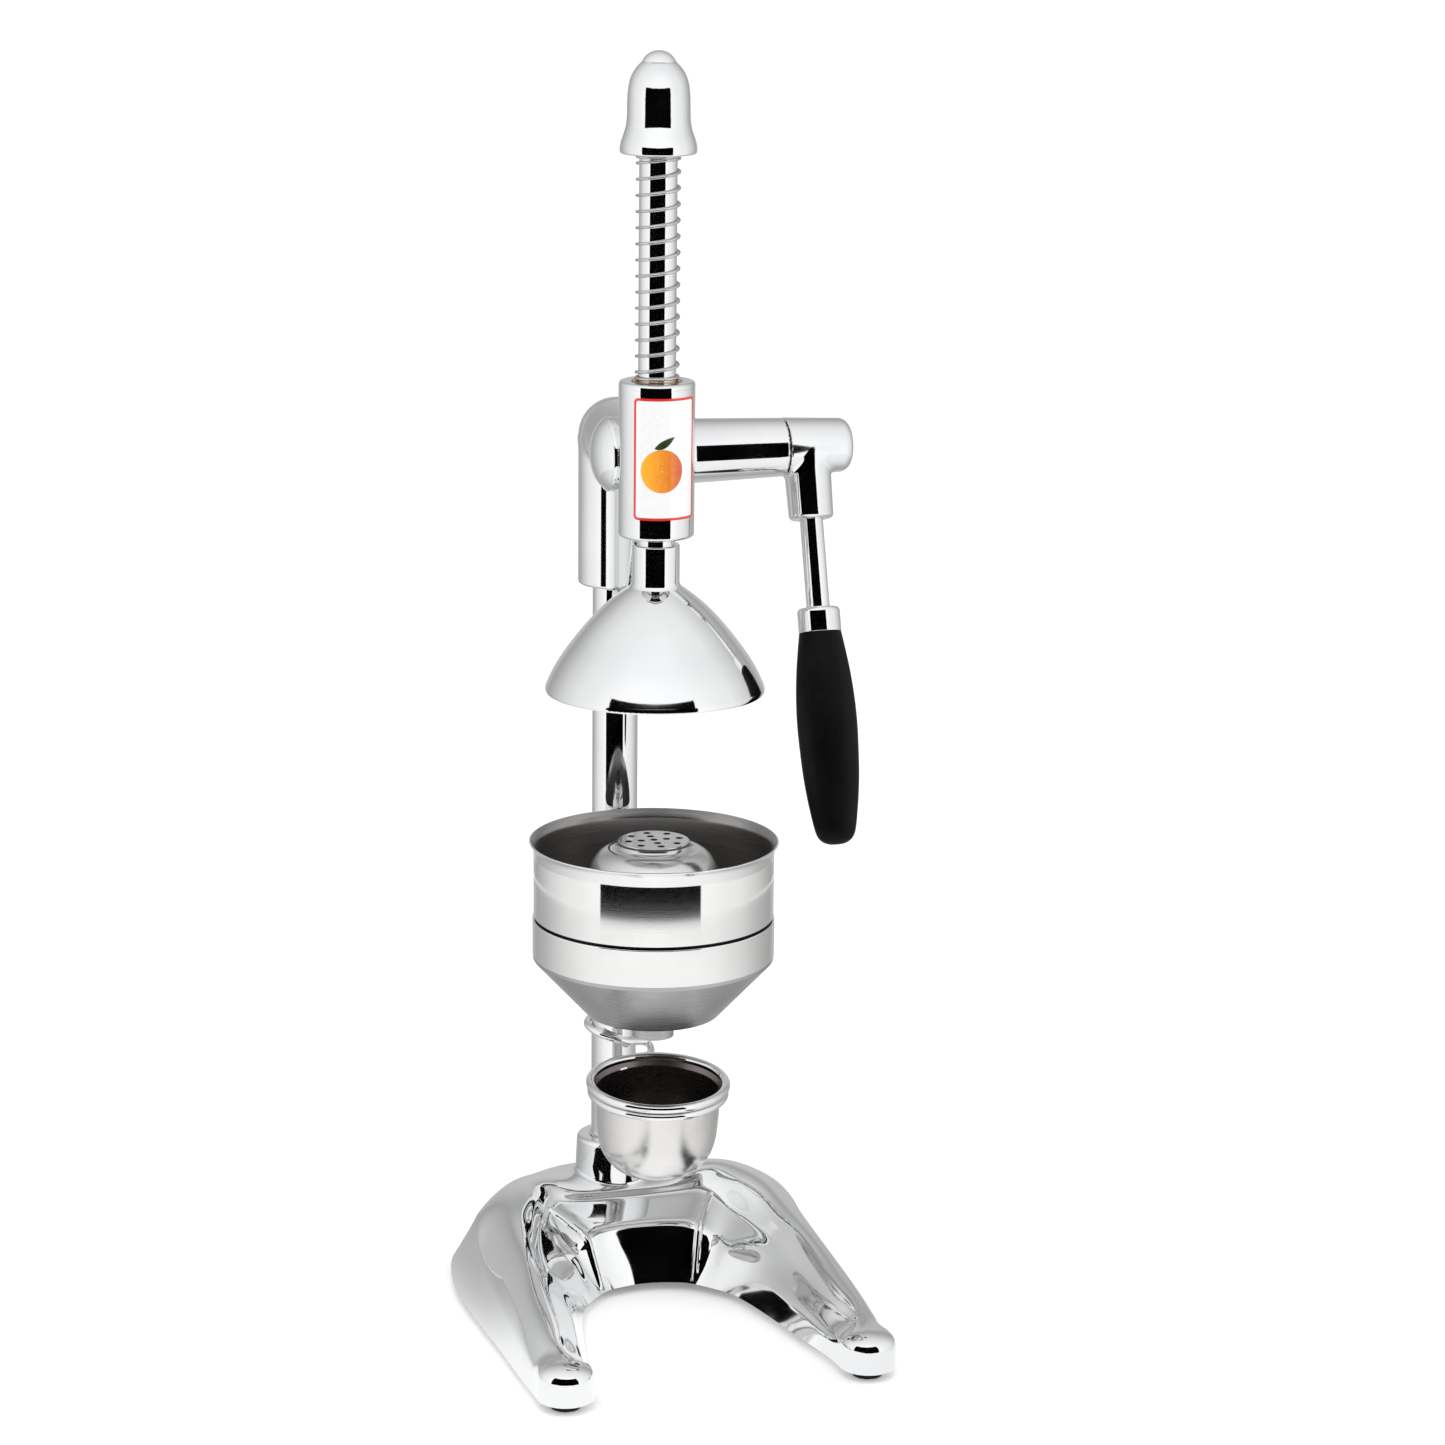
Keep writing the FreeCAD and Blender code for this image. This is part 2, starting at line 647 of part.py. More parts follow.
def make_reamer():
    floor = CUP_FLOOR + CUP_WALL
    wall = REAMER_WALL
    body = lathe(
        (0, REAMER_TOP),
        (REAMER_DISC_R - 0.5, REAMER_TOP),
        ("arc", (REAMER_DISC_R - 0.1, REAMER_TOP - 0.3), (REAMER_DISC_R, REAMER_TOP - 0.9)),
        [(19.3, 259.0), (21.6, 257.3), (24.6, 257.0)],
        [(28.2, 255.2), (31.8, 251.3), (34.6, 245.6), (36.6, 236.0), (REAMER_FOOT_R, 224.0)],
        (REAMER_FOOT_R, floor),
        (REAMER_FOOT_R - wall, floor),
        (REAMER_FOOT_R - wall, 224.0),
        [(35.0, 236.5), (33.0, 245.2), (30.6, 250.2), (27.4, 253.6), (24.4, 255.2)],
        [(20.6, 255.8), (17.9, 257.8), (17.3, REAMER_TOP - wall)],
        (0, REAMER_TOP - wall),
    )
    low = REAMER_TOP - 3
    high = REAMER_TOP + 1
    cuts = [along_z(DRAIN_R, low, high)]
    cuts += ring_of_holes(4, 7.0, DRAIN_R, low, high)
    cuts += ring_of_holes(8, 14.0, DRAIN_R, low, high)
    for i in range(SLOT_COUNT):
        slot = Part.makeBox(12, SLOT_WIDTH, SLOT_HEIGHT, V(29, -SLOT_WIDTH / 2, SLOT_BOTTOM))
        slot.rotate(V(0, 0, 0), Z_AXIS, 360 / SLOT_COUNT * (i + 0.5))
        cuts.append(slot)
    return body.cut(cuts)


# ---------------------------------------------------------------- drip bowl and wire holder
def make_drip_bowl():
    wall = BOWL_WALL
    shell = lathe(
        (0, -51.0),
        (13.0, -51.0),
        [(19.5, -49.4), (26.2, -44.2), (30.9, -36.0), (33.0, -24.0), (33.7, -12.0), (34.2, -1.0)],
        (BOWL_RIM_R, -1.0),
        (BOWL_RIM_R, 1.0),
        ("arc", (BOWL_RIM_R - 1.7, 0.6), (34.2 - wall, -1.6)),
        [(33.7 - wall, -12.0), (33.0 - wall, -23.8), (29.9, -35.4), (25.4, -43.4), (19.0, -48.3),
         (13.0, -51.0 + wall)],
        (0, -51.0 + wall),
    )
    bead = Part.makeTorus(BOWL_RIM_R, BOWL_BEAD_R)
    return to_bowl(shell.fuse(bead))


def holder_path():
    """Ring under the bowl's rim, a link to the column, and a clip coiled round it."""
    step = HOLDER_STEP_DEG
    grow = 1 / math.cos(math.radians(step / 2))
    tilt = math.radians(BOWL_TILT_DEG)
    ring = []
    for i in range(12):
        angle = math.radians(80 if i == 0 else 95 - step * i)
        radius = HOLDER_RING_R * (1 if i == 0 else grow)
        x = radius * math.cos(angle)
        y = radius * math.sin(angle)
        height = -HOLDER_RING_DROP
        ring.append(V(
            BOWL_X + x,
            y * math.cos(tilt) - height * math.sin(tilt),
            BOWL_Z + y * math.sin(tilt) + height * math.cos(tilt),
        ))
    coil = []
    for i, z in enumerate(COIL_HEIGHTS):
        angle = math.radians(285 - step * i)
        radius = HOLDER_COIL_R * grow
        coil.append(V(radius * math.cos(angle), COLUMN_Y + radius * math.sin(angle), z))
    return ring + HOLDER_LINK + coil


def make_bowl_holder():
    return round_wire(holder_path(), HOLDER_WIRE_R)


# ---------------------------------------------------------------- head casting
def make_head_casting():
    """Ram barrel, gear housing, lever arm, limb, elbow, column socket and gusset in one casting."""
    edge = BARREL_EDGE_R
    corner = edge * ARC_MIDDLE
    barrel = lathe(
        (0, BARREL_BOTTOM),
        (BARREL_R - edge, BARREL_BOTTOM),
        ("arc", (BARREL_R - corner, BARREL_BOTTOM + corner), (BARREL_R, BARREL_BOTTOM + edge)),
        (BARREL_R, BARREL_TOP - edge),
        ("arc", (BARREL_R - corner, BARREL_TOP - corner), (BARREL_R - edge, BARREL_TOP)),
        (0, BARREL_TOP),
    )
    housing = along_x(GEAR_HOUSING_R, CAP_SEAT, HOUSING_RIGHT)
    arm = Part.makeCone(
        ARM_START_R + 0.9, ARM_END_R, ARM_END, V(0, SHAFT_Y, SHAFT_Z), X_AXIS)
    limb = cylinder(SOCKET_R - 0.3, V(0, 6, SHAFT_Z), Y_AXIS, COLUMN_Y - 6)
    elbow = Part.makeSphere(SOCKET_R, V(0, COLUMN_Y, SHAFT_Z))
    socket = lathe(
        (0, SOCKET_BOTTOM),
        (SOCKET_R - 2.0, SOCKET_BOTTOM),
        ("arc", (SOCKET_R - 0.9, SOCKET_BOTTOM + 0.6), (SOCKET_R - 0.4, SOCKET_BOTTOM + 2)),
        (SOCKET_R, SHAFT_Z),
        (0, SHAFT_Z),
    )
    socket.translate(V(0, COLUMN_Y, 0))
    web_corners = [V(-WEB_HALF_THICKNESS, y, z) for y, z in WEB_OUTLINE]
    web = Part.Face(Part.makePolygon(web_corners)).extrude(V(2 * WEB_HALF_THICKNESS, 0, 0))
    body = barrel.fuse([housing, arm, limb, elbow, socket, web])
    cuts = [
        along_z(BUSH_R, BARREL_BOTTOM - 1, BARREL_TOP + 1),
        along_x(END_CAP_R, -30, CAP_SEAT),
        along_x(GEAR_CHAMBER_R, CAP_SEAT - 1, CHAMBER_RIGHT),
        along_x(ARM_BORE_R, 0, ARM_END + 1),
        along_z(COLUMN_R, SOCKET_BOTTOM - 1, COLUMN_TOP, 0, COLUMN_Y),
    ]
    for z in HEAD_SCREW_HEIGHTS:
        cuts.append(cylinder(SET_SCREW_R, V(0, COLUMN_Y + COLUMN_R - 1, z), Y_AXIS, 12))
    return body.cut(cuts)


def make_head_set_screws():
    screws = []
    for z in HEAD_SCREW_HEIGHTS:
        screws.append(set_screw(SET_SCREW_R, V(0, COLUMN_Y + COLUMN_R, z), Y_AXIS, 7.0))
    return Part.makeCompound(screws)


def make_ram_bush_lower():
    return ring_z(RAM_R + RAM_CLEARANCE, BUSH_R, BARREL_BOTTOM, BARREL_BOTTOM + BUSH_LENGTH)


def make_ram_bush_upper():
    return ring_z(RAM_R + RAM_CLEARANCE, BUSH_R, BARREL_TOP - BUSH_LENGTH, BARREL_TOP)


def shaft_bush(left, right, outer):
    bore = along_x(SHAFT_R + SHAFT_CLEARANCE, left - 1, right + 1)
    return along_x(outer, left, right).cut(bore)


def make_shaft_bush_left():
    return shaft_bush(BUSH_LEFT, -9.0, GEAR_CHAMBER_R)


def make_shaft_bush_right():
    return shaft_bush(50.0, ARM_END, ARM_BORE_R)


def make_end_cap():
    """A domed cover with a spigot that plugs the gear chamber."""
    dome = lathe(
        (0, 8.6),
        [(8.0, 7.6), (14.6, 4.8), (18.4, 1.6)],
        ("arc", (19.3, 0.8), (END_CAP_R, -0.2)),
        (END_CAP_R, -3.0),
        (19.2, -3.4),
        (GEAR_CHAMBER_R, -3.4),
        (GEAR_CHAMBER_R, -5.6),
        (15.0, -5.6),
        (15.0, -0.4),
        [(11.0, 3.8), (0, 6.4)],
    )
    placed = dome.copy()
    placed.rotate(V(0, 0, 0), Y_AXIS, -90)
    placed.translate(V(-20.8, SHAFT_Y, SHAFT_Z))
    return placed


def make_label():
    outer = BARREL_R + LABEL_THICKNESS
    profile = Part.Face(Part.makePolygon([
        V(BARREL_R, 0, LABEL_BOTTOM),
        V(outer, 0, LABEL_BOTTOM),
        V(outer, 0, LABEL_TOP),
        V(BARREL_R, 0, LABEL_TOP),
        V(BARREL_R, 0, LABEL_BOTTOM),
    ]))
    sheet = profile.revolve(V(0, 0, 0), Z_AXIS, math.degrees(2 * LABEL_HALF_ANGLE))
    sheet.rotate(V(0, 0, 0), Z_AXIS, -90 - math.degrees(LABEL_HALF_ANGLE))
    return sheet


# ---------------------------------------------------------------- ram, rack and pressing cone
def make_ram():
    """Round bar with a straight rack cut in its back, and a threaded stud on top."""
    stud = along_z(STUD_R, RAM_TOP, RAM_TOP + STUD_LENGTH)
    body = along_z(RAM_R, RAM_BOTTOM, RAM_TOP).fuse(stud)
    pitch_r = GEAR_MODULE * GEAR_TEETH / 2
    pitch_line = SHAFT_Y - pitch_r
    tip = pitch_line + GEAR_MODULE
    root = pitch_line - 1.25 * GEAR_MODULE
    pitch = math.pi * GEAR_MODULE
    slope = math.tan(PRESSURE_ANGLE)
    half_root = pitch / 4 + BACKLASH / 4 - (pitch_line - root) * slope
    half_mouth = pitch / 4 + BACKLASH / 4 + (tip + 3 - pitch_line) * slope
    low = SHAFT_Z - pitch * (RACK_TEETH_BELOW + 0.5)
    high = SHAFT_Z + pitch * (RACK_TEETH_ABOVE + 0.5)
    cuts = [Part.makeBox(24, 6, high - low, V(-12, tip, low))]
    for i in range(-RACK_TEETH_BELOW, RACK_TEETH_ABOVE + 1):
        z = SHAFT_Z + pitch * i
        outline = [
            V(-12, root, z - half_root),
            V(-12, root, z + half_root),
            V(-12, tip + 3, z + half_mouth),
            V(-12, tip + 3, z - half_mouth),
            V(-12, root, z - half_root),
        ]
        cuts.append(Part.Face(Part.makePolygon(outline)).extrude(V(24, 0, 0)))
    cuts.append(along_z(STUD_R, RAM_BOTTOM - 1, RAM_BOTTOM + RAM_TAPPED_DEPTH))
    return body.cut(cuts)


def make_press_cone():
    body = lathe(
        (STUD_R, RAM_BOTTOM),
        (RAM_R, RAM_BOTTOM),
        (RAM_R, NECK_TOP),
        (NECK_R - 1.0, NECK_TOP),
        ("arc", (NECK_R - 0.3, NECK_TOP - 0.3), (NECK_R, NECK_TOP - 1.0)),
        (NECK_R, 402.6),
        ("arc", (12.95, 400.9), (14.0, 399.4)),
        [(32.2, 383.9), (42.6, 371.5), (52.0, 358.0), (CONE_RIM_R - 0.4, 346.6)],
        ("arc", (CONE_RIM_R, 345.2), (CONE_RIM_R - 0.2, CONE_RIM_Z)),
        (CONE_RIM_R - 1.6, CONE_RIM_Z),
        (16.0, CONE_SEAT_Z),
        (STUD_R, CONE_SEAT_Z),
    )
    return body


def make_cone_bolt():
    head = hexagon(CONE_BOLT_FLATS, V(0, 0, CONE_SEAT_Z - CONE_BOLT_HEAD), Z_AXIS, CONE_BOLT_HEAD)
    return head.fuse(along_z(STUD_R, CONE_SEAT_Z, RAM_BOTTOM + RAM_TAPPED_DEPTH - 1))


def make_ram_cap():
    """A bell-shaped cap that holds the spring's upper end."""
    return lathe(
        (RAM_R, CAP_BOTTOM),
        (18.6, CAP_BOTTOM),
        ("arc", (19.6, 626.0), (19.9, 627.0)),
        [(19.75, 630.0), (18.3, 634.9), (16.9, 639.6), (16.35, 646.0), (15.9, 657.7),
         (14.5, 664.2), (12.3, 668.3), (9.0, CAP_TOP)],
        (STUD_R, CAP_TOP),
        (STUD_R, RAM_TOP),
        (RAM_R, RAM_TOP),
    )


def make_cap_nut():
    return lathe(
        (STUD_R, CAP_TOP),
        (8.5, CAP_TOP),
        ("arc", (8.75, 672.15), (8.6, 672.5)),
        [(7.3, 674.6), (4.4, 676.9), (0, 677.8)],
        (0, RAM_TOP + STUD_LENGTH + 0.2),
        (STUD_R, RAM_TOP + STUD_LENGTH + 0.2),
    )


def make_return_spring():
    low = BARREL_TOP + SPRING_WIRE_R + 0.05
    height = CAP_BOTTOM - BARREL_TOP - 2 * SPRING_WIRE_R - 0.1
    helix = Part.makeHelix(height / SPRING_COILS, height, SPRING_R)
    helix.translate(V(0, 0, low))
    section = Part.Wire(Part.makeCircle(SPRING_WIRE_R, V(SPRING_R, 0, low), Y_AXIS))
    return Part.Wire(helix).makePipeShell([section], True, True)


# ---------------------------------------------------------------- lever, shaft and pinion
def make_pinion_shaft():
    bar = along_x(SHAFT_R, SHAFT_LEFT, SHAFT_RIGHT)
    return bar.cut(cylinder(PINION_PIN_R, V(0, SHAFT_Y, SHAFT_Z - 14), Z_AXIS, 28))


def involute(angle):
    return math.tan(angle) - angle


def make_pinion():
    """Spur gear with involute teeth. One tooth points straight at the rack."""
    pitch_r = GEAR_MODULE * GEAR_TEETH / 2
    base_r = pitch_r * math.cos(PRESSURE_ANGLE)
    tip_r = pitch_r + GEAR_MODULE
    root_r = pitch_r - 1.25 * GEAR_MODULE
    half_tooth = (math.pi * GEAR_MODULE / 2 - BACKLASH / 2) / (2 * pitch_r)

    def point(radius, angle):
        return V(0, -radius * math.cos(angle), radius * math.sin(angle))

    def half_angle(radius):
        pressure = math.acos(min(1.0, base_r / radius))
        return half_tooth + involute(PRESSURE_ANGLE) - involute(pressure)

    flank = [base_r + (tip_r - base_r) * i / 4 for i in range(5)]
    edges = []
    for tooth in range(GEAR_TEETH):
        middle = 2 * math.pi * tooth / GEAR_TEETH
        following = 2 * math.pi * (tooth + 1) / GEAR_TEETH
        rising = [point(r, middle - half_angle(r)) for r in flank]
        falling = [point(r, middle + half_angle(r)) for r in reversed(flank)]
        root_in = point(root_r, middle - half_angle(base_r))
        root_out = point(root_r, middle + half_angle(base_r))
        root_next = point(root_r, following - half_angle(base_r))
        gap_middle = point(root_r, (middle + following) / 2)
        edges.append(Part.makeLine(root_in, rising[0]))
        edges.append(spline_edge(rising))
        edges.append(Part.Arc(rising[-1], point(tip_r, middle), falling[0]).toShape())
        edges.append(spline_edge(falling))
        edges.append(Part.makeLine(falling[-1], root_out))
        edges.append(Part.Arc(root_out, gap_middle, root_next).toShape())
    blank = Part.Face(Part.Wire(edges)).extrude(V(PINION_WIDTH, 0, 0))
    blank.translate(V(-PINION_WIDTH / 2, SHAFT_Y, SHAFT_Z))
    cuts = [
        along_x(SHAFT_R, -PINION_WIDTH, PINION_WIDTH),
        cylinder(PINION_PIN_R, V(0, SHAFT_Y, SHAFT_Z - 14), Z_AXIS, 28),
    ]
    return blank.cut(cuts)


def make_pinion_pin():
    start = V(0, SHAFT_Y, SHAFT_Z - PINION_PIN_LENGTH / 2)
    return cylinder(PINION_PIN_R, start, Z_AXIS, PINION_PIN_LENGTH)


def make_thrust_washer():
    return along_x(WASHER_R, 8.0, 10.2).cut(along_x(SHAFT_R, 7, 12))


def make_retaining_ring():
    ring = along_x(RETAINING_RING_R, -16.8, -15.4).cut(along_x(SHAFT_R, -18, -14))
    return ring.cut(Part.makeBox(3, 5, 12, V(-18, SHAFT_Y - 2.5, SHAFT_Z + 4)))


def make_lever_hub():
    """Turned barrel on the shaft with a socket for the lever's rod."""
    length = HUB_END - HUB_START
    barrel = to_shaft(lathe(
        (0, 0),
        (HUB_R, 0),
        (HUB_END_R + 0.2, length - 9),
        ("arc", (HUB_END_R - 2.3, length - 2.4), (HUB_END_R - 8.4, length)),
        (0, length),
    ), HUB_START)
    boss = to_lever(lathe(
        (0, 0),
        (HUB_BOSS_R + 0.6, 0),
        (HUB_BOSS_R - 0.3, HUB_BOSS_REACH - 3),
        ("arc", (HUB_BOSS_R - 1.1, HUB_BOSS_REACH - 0.9), (HUB_BOSS_R - 3.2, HUB_BOSS_REACH)),
        (0, HUB_BOSS_REACH),
    ))
    body = barrel.fuse(boss)
    shaft_bore = along_x(SHAFT_R, HUB_START - 1, SHAFT_RIGHT)
    rod_bore = to_lever(along_z(ROD_R, ROD_START, HUB_BOSS_REACH + 1))
    screw_bore = cylinder(SMALL_SCREW_R, V(LEVER_X, SHAFT_Y, SHAFT_Z), Z_AXIS, 20)
    return body.cut([shaft_bore, rod_bore, screw_bore])


def make_hub_screw():
    return set_screw(SMALL_SCREW_R, V(LEVER_X, SHAFT_Y, SHAFT_Z + SHAFT_R), Z_AXIS, 5.0)


def make_lever_rod():
    return to_lever(along_z(ROD_R, ROD_START, ROD_END))


def make_ferrule():
    return to_lever(lathe(
        (ROD_R, FERRULE_START + 2.2),
        (ROD_R + 1.4, FERRULE_START + 1.8),
        (ROD_R + 1.8, FERRULE_START),
        (FERRULE_R - 2.6, FERRULE_START),
        ("arc", (FERRULE_R - 0.8, FERRULE_START + 0.8), (FERRULE_R, FERRULE_START + 2.6)),
        (FERRULE_R, GRIP_START),
        (ROD_R, GRIP_START),
    ))


def make_grip():
    return to_lever(lathe(
        (ROD_R, GRIP_START),
        (GRIP_START_R, GRIP_START),
        [(13.7, 114.0), (15.6, 131.0), (16.3, 150.0), (15.9, 163.0), (14.8, 180.0), (13.0, 194.0),
         (11.3, 203.5), (8.8, 209.6), (4.0, GRIP_END)],
        (0, GRIP_END),
        (0, ROD_END),
        (ROD_R, ROD_END),
    ))


NODES = {
    "base": make_base,
    "rubber_feet": make_rubber_feet,
    "foot_screws": make_foot_screws,
    "column": make_column,
    "column_bolt": make_column_bolt,
    "column_washer": make_column_washer,
    "base_set_screw": make_base_set_screw,
    "cup_bracket": make_cup_bracket,
    "bracket_screw": make_bracket_screw,
    "bracket_rivets": make_bracket_rivets,
    "funnel": make_funnel,
    "strainer_cup": make_strainer_cup,
    "reamer": make_reamer,
    "drip_bowl": make_drip_bowl,
    "bowl_holder": make_bowl_holder,
    "head_casting": make_head_casting,
    "head_set_screws": make_head_set_screws,
    "ram_bush_lower": make_ram_bush_lower,
    "ram_bush_upper": make_ram_bush_upper,
    "shaft_bush_left": make_shaft_bush_left,
    "shaft_bush_right": make_shaft_bush_right,
    "end_cap": make_end_cap,
    "label": make_label,
    "ram": make_ram,
    "press_cone": make_press_cone,
    "cone_bolt": make_cone_bolt,
    "ram_cap": make_ram_cap,
    "cap_nut": make_cap_nut,
    "return_spring": make_return_spring,
    "pinion_shaft": make_pinion_shaft,
    "pinion": make_pinion,
    "pinion_pin": make_pinion_pin,
    "thrust_washer": make_thrust_washer,
    "retaining_ring": make_retaining_ring,
    "lever_hub": make_lever_hub,
    "hub_screw": make_hub_screw,
    "lever_rod": make_lever_rod,
    "ferrule": make_ferrule,
    "grip": make_grip,
}


def main():
    os.makedirs("parts", exist_ok=True)
    for name, make in NODES.items():
        make().exportStep("parts/" + name + ".step")


main()
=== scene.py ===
"""Looks of a lever citrus press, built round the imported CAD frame. Sizes are in millimetres."""
import json
import math

import bmesh
import bpy
import numpy as np
from mathutils import Matrix, Vector
from mathutils.bvhtree import BVHTree


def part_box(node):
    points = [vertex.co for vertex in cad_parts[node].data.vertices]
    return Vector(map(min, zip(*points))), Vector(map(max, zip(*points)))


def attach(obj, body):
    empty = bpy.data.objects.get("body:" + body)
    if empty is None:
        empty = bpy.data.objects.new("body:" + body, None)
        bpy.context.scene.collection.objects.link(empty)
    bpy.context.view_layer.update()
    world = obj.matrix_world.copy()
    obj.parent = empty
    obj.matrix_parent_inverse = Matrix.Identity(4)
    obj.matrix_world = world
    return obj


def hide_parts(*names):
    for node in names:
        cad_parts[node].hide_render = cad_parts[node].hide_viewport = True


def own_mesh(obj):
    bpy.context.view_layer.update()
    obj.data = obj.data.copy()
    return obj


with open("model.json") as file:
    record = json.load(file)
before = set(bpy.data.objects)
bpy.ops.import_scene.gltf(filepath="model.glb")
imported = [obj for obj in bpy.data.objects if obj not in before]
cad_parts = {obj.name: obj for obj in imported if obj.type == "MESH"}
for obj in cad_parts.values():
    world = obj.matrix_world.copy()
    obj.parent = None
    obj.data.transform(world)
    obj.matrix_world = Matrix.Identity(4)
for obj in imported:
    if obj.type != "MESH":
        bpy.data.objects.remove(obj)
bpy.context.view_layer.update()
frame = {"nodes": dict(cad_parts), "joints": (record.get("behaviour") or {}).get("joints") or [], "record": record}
MM = 0.001


# ---- places taken from the frame
def box_mm(node):
    low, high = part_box(node)
    return np.array(low) / MM, np.array(high) / MM


def centre_mm(node):
    low, high = box_mm(node)
    return (low + high) / 2


def half_width(node):
    low, high = box_mm(node)
    return (high - low)[0] / 2


joints = {joint["name"]: joint for joint in frame["joints"]}
SHAFT = np.array(joints["lever_turn"]["pos_m"]) / MM
BOWL_UP = np.array(joints["bowl_lift"]["axis"])
COLUMN_Y = centre_mm("column")[1]
COLUMN_R = half_width("column")
LABEL_R = half_width("ram_bush_lower") + 7.0
FLOOR_GAP = box_mm("rubber_feet")[1][2]


# ---- materials
def add_node(tree, kind, links, **settings):
    """Adds a node. links gives, for each input, the socket to link or the value to set."""
    made = tree.nodes.new(kind)
    for key, value in settings.items():
        setattr(made, key, value)
    for socket, value in links.items():
        if isinstance(value, bpy.types.NodeSocket):
            tree.links.new(value, made.inputs[socket])
        else:
            made.inputs[socket].default_value = value
    return made


class Surface:
    """A Principled material and short ways to add texture nodes to it."""

    def __init__(self, name, color, metallic, roughness):
        self.material = bpy.data.materials.new(name)
        self.material.use_nodes = True
        self.tree = self.material.node_tree
        self.shader = self.tree.nodes["Principled BSDF"]
        self.shader.inputs["Base Color"].default_value = (*color, 1)
        self.shader.inputs["Metallic"].default_value = metallic
        self.shader.inputs["Roughness"].default_value = roughness
        self.material.diffuse_color = (*color, 1)
        coordinates = self.tree.nodes.new("ShaderNodeTexCoord")
        self.position = coordinates.outputs["Object"]

    def node(self, kind, links, **settings):
        return add_node(self.tree, kind, links, **settings)

    def math(self, operation, a, b=0.0):
        return self.node("ShaderNodeMath", {0: a, 1: b}, operation=operation).outputs[0]

    def noise(self, scale, detail=3.0, vector=None):
        links = {"Vector": vector or self.position, "Scale": scale, "Detail": detail}
        return self.node("ShaderNodeTexNoise", links).outputs["Fac"]

    def stretched_noise(self, scales, detail=3.0):
        moved = self.node("ShaderNodeMapping", {"Vector": self.position, "Scale": scales})
        return self.noise(1.0, detail, moved.outputs[0])

    def spun_lines(self, lines_per_m):
        """Noise that changes only along a turned profile, so it reads as lathe lines."""
        parts = self.node("ShaderNodeSeparateXYZ", {0: self.position})
        x2 = self.math("MULTIPLY", parts.outputs[0], parts.outputs[0])
        y2 = self.math("MULTIPLY", parts.outputs[1], parts.outputs[1])
        radius = self.math("SQRT", self.math("ADD", x2, y2))
        along = self.node("ShaderNodeCombineXYZ", {0: radius, 1: parts.outputs[2]})
        return self.noise(lines_per_m, 2.0, along.outputs[0])

    def spread(self, value, low, high):
        """Maps the middle of a noise onto low to high."""
        links = {"Value": value, 1: 0.3, 2: 0.7, 3: low, 4: high}
        return self.node("ShaderNodeMapRange", links).outputs[0]

    def feed(self, socket, value):
        self.tree.links.new(value, self.shader.inputs[socket])

    def mix_color(self, factor, first, second):
        links = {"Factor": factor, 6: (*first, 1), 7: (*second, 1)}
        self.feed("Base Color", self.node("ShaderNodeMix", links, data_type="RGBA").outputs[2])

    def color_between(self, value, first, second):
        self.mix_color(self.spread(value, 0.0, 1.0), first, second)

    def rough(self, value, low, high):
        self.feed("Roughness", self.spread(value, low, high))

    def bump(self, height, strength, depth_mm):
        links = {"Height": height, "Strength": strength, "Distance": depth_mm * MM}
        previous = self.shader.inputs["Normal"]
        if previous.is_linked:
            links["Normal"] = previous.links[0].from_socket
        self.feed("Normal", self.node("ShaderNodeBump", links).outputs[0])

    def constant(self, **values):
        for socket, value in values.items():
            self.shader.inputs[socket.replace("_", " ")].default_value = value
        return self


def chrome(name, waviness=0.0):
    surface = Surface(name, (0.84, 0.845, 0.85), 1.0, 0.05)
    surface.color_between(surface.noise(18, 4), (0.87, 0.875, 0.88), (0.80, 0.805, 0.815))
    surface.rough(surface.noise(45, 6), 0.03, 0.07)
    surface.bump(surface.noise(900, 3), 0.04, 0.02)
    if waviness:
        surface.bump(surface.noise(38, 1), waviness, 1.0)
    return surface.material


def satin_steel(name, light, dark, rough_low, rough_high, relief=0.05):
    surface = Surface(name, light, 1.0, rough_low)
    lines = surface.spun_lines(2600)
    surface.color_between(surface.noise(30, 5), light, dark)
    surface.rough(lines, rough_low, rough_high)
    surface.bump(lines, relief, 0.02)
    surface.bump(surface.noise(1500, 2), 0.6 * relief, 0.01)
    return surface.material


def machined_steel(name):
    surface = Surface(name, (0.6, 0.6, 0.61), 1.0, 0.22)
    surface.color_between(surface.noise(120, 4), (0.66, 0.66, 0.67), (0.5, 0.5, 0.51))
    surface.rough(surface.noise(700, 3), 0.16, 0.34)
    surface.bump(surface.stretched_noise((2500, 2500, 300)), 0.1, 0.02)
    return surface.material


def mottled(name, color, metallic, roughness, tints, tint_noise, rough, rough_noise, bump, bump_noise,
            constants):
    """Colour, roughness and fine relief that each vary with a noise of (scale, detail)."""
    surface = Surface(name, color, metallic, roughness)
    surface.color_between(surface.noise(*tint_noise), *tints)
    surface.rough(surface.noise(*rough_noise), *rough)
    surface.bump(surface.noise(*bump_noise), *bump)
    return surface.constant(**constants).material


COATED = {"Coat_Weight": 0.6, "Coat_Roughness": 0.06}


def printed(name, light, dark):
    return mottled(name, light, 0.0, 0.25, (light, dark), (260, 5), (0.18, 0.32), (300, 3), (0.04, 0.01),
                   (1500, 2), COATED)


def fruit_print(name):
    """Printed fruit that runs from yellow on its left to red orange on its right."""
    surface = Surface(name, (0.9, 0.35, 0.02), 0.0, 0.25)
    parts = surface.node("ShaderNodeSeparateXYZ", {0: surface.position})
    wander = surface.math("MULTIPLY", surface.noise(500, 4), 0.008)
    shifted = surface.math("ADD", parts.outputs[0], wander)
    share = surface.node("ShaderNodeMapRange", {"Value": shifted, 1: -0.007, 2: 0.014}).outputs[0]
    surface.mix_color(share, (0.92, 0.4, 0.02), (0.5, 0.035, 0.004))
    surface.rough(surface.noise(300, 3), 0.18, 0.3)
    surface.bump(surface.noise(1500, 2), 0.04, 0.01)
    return surface.constant(**COATED).material


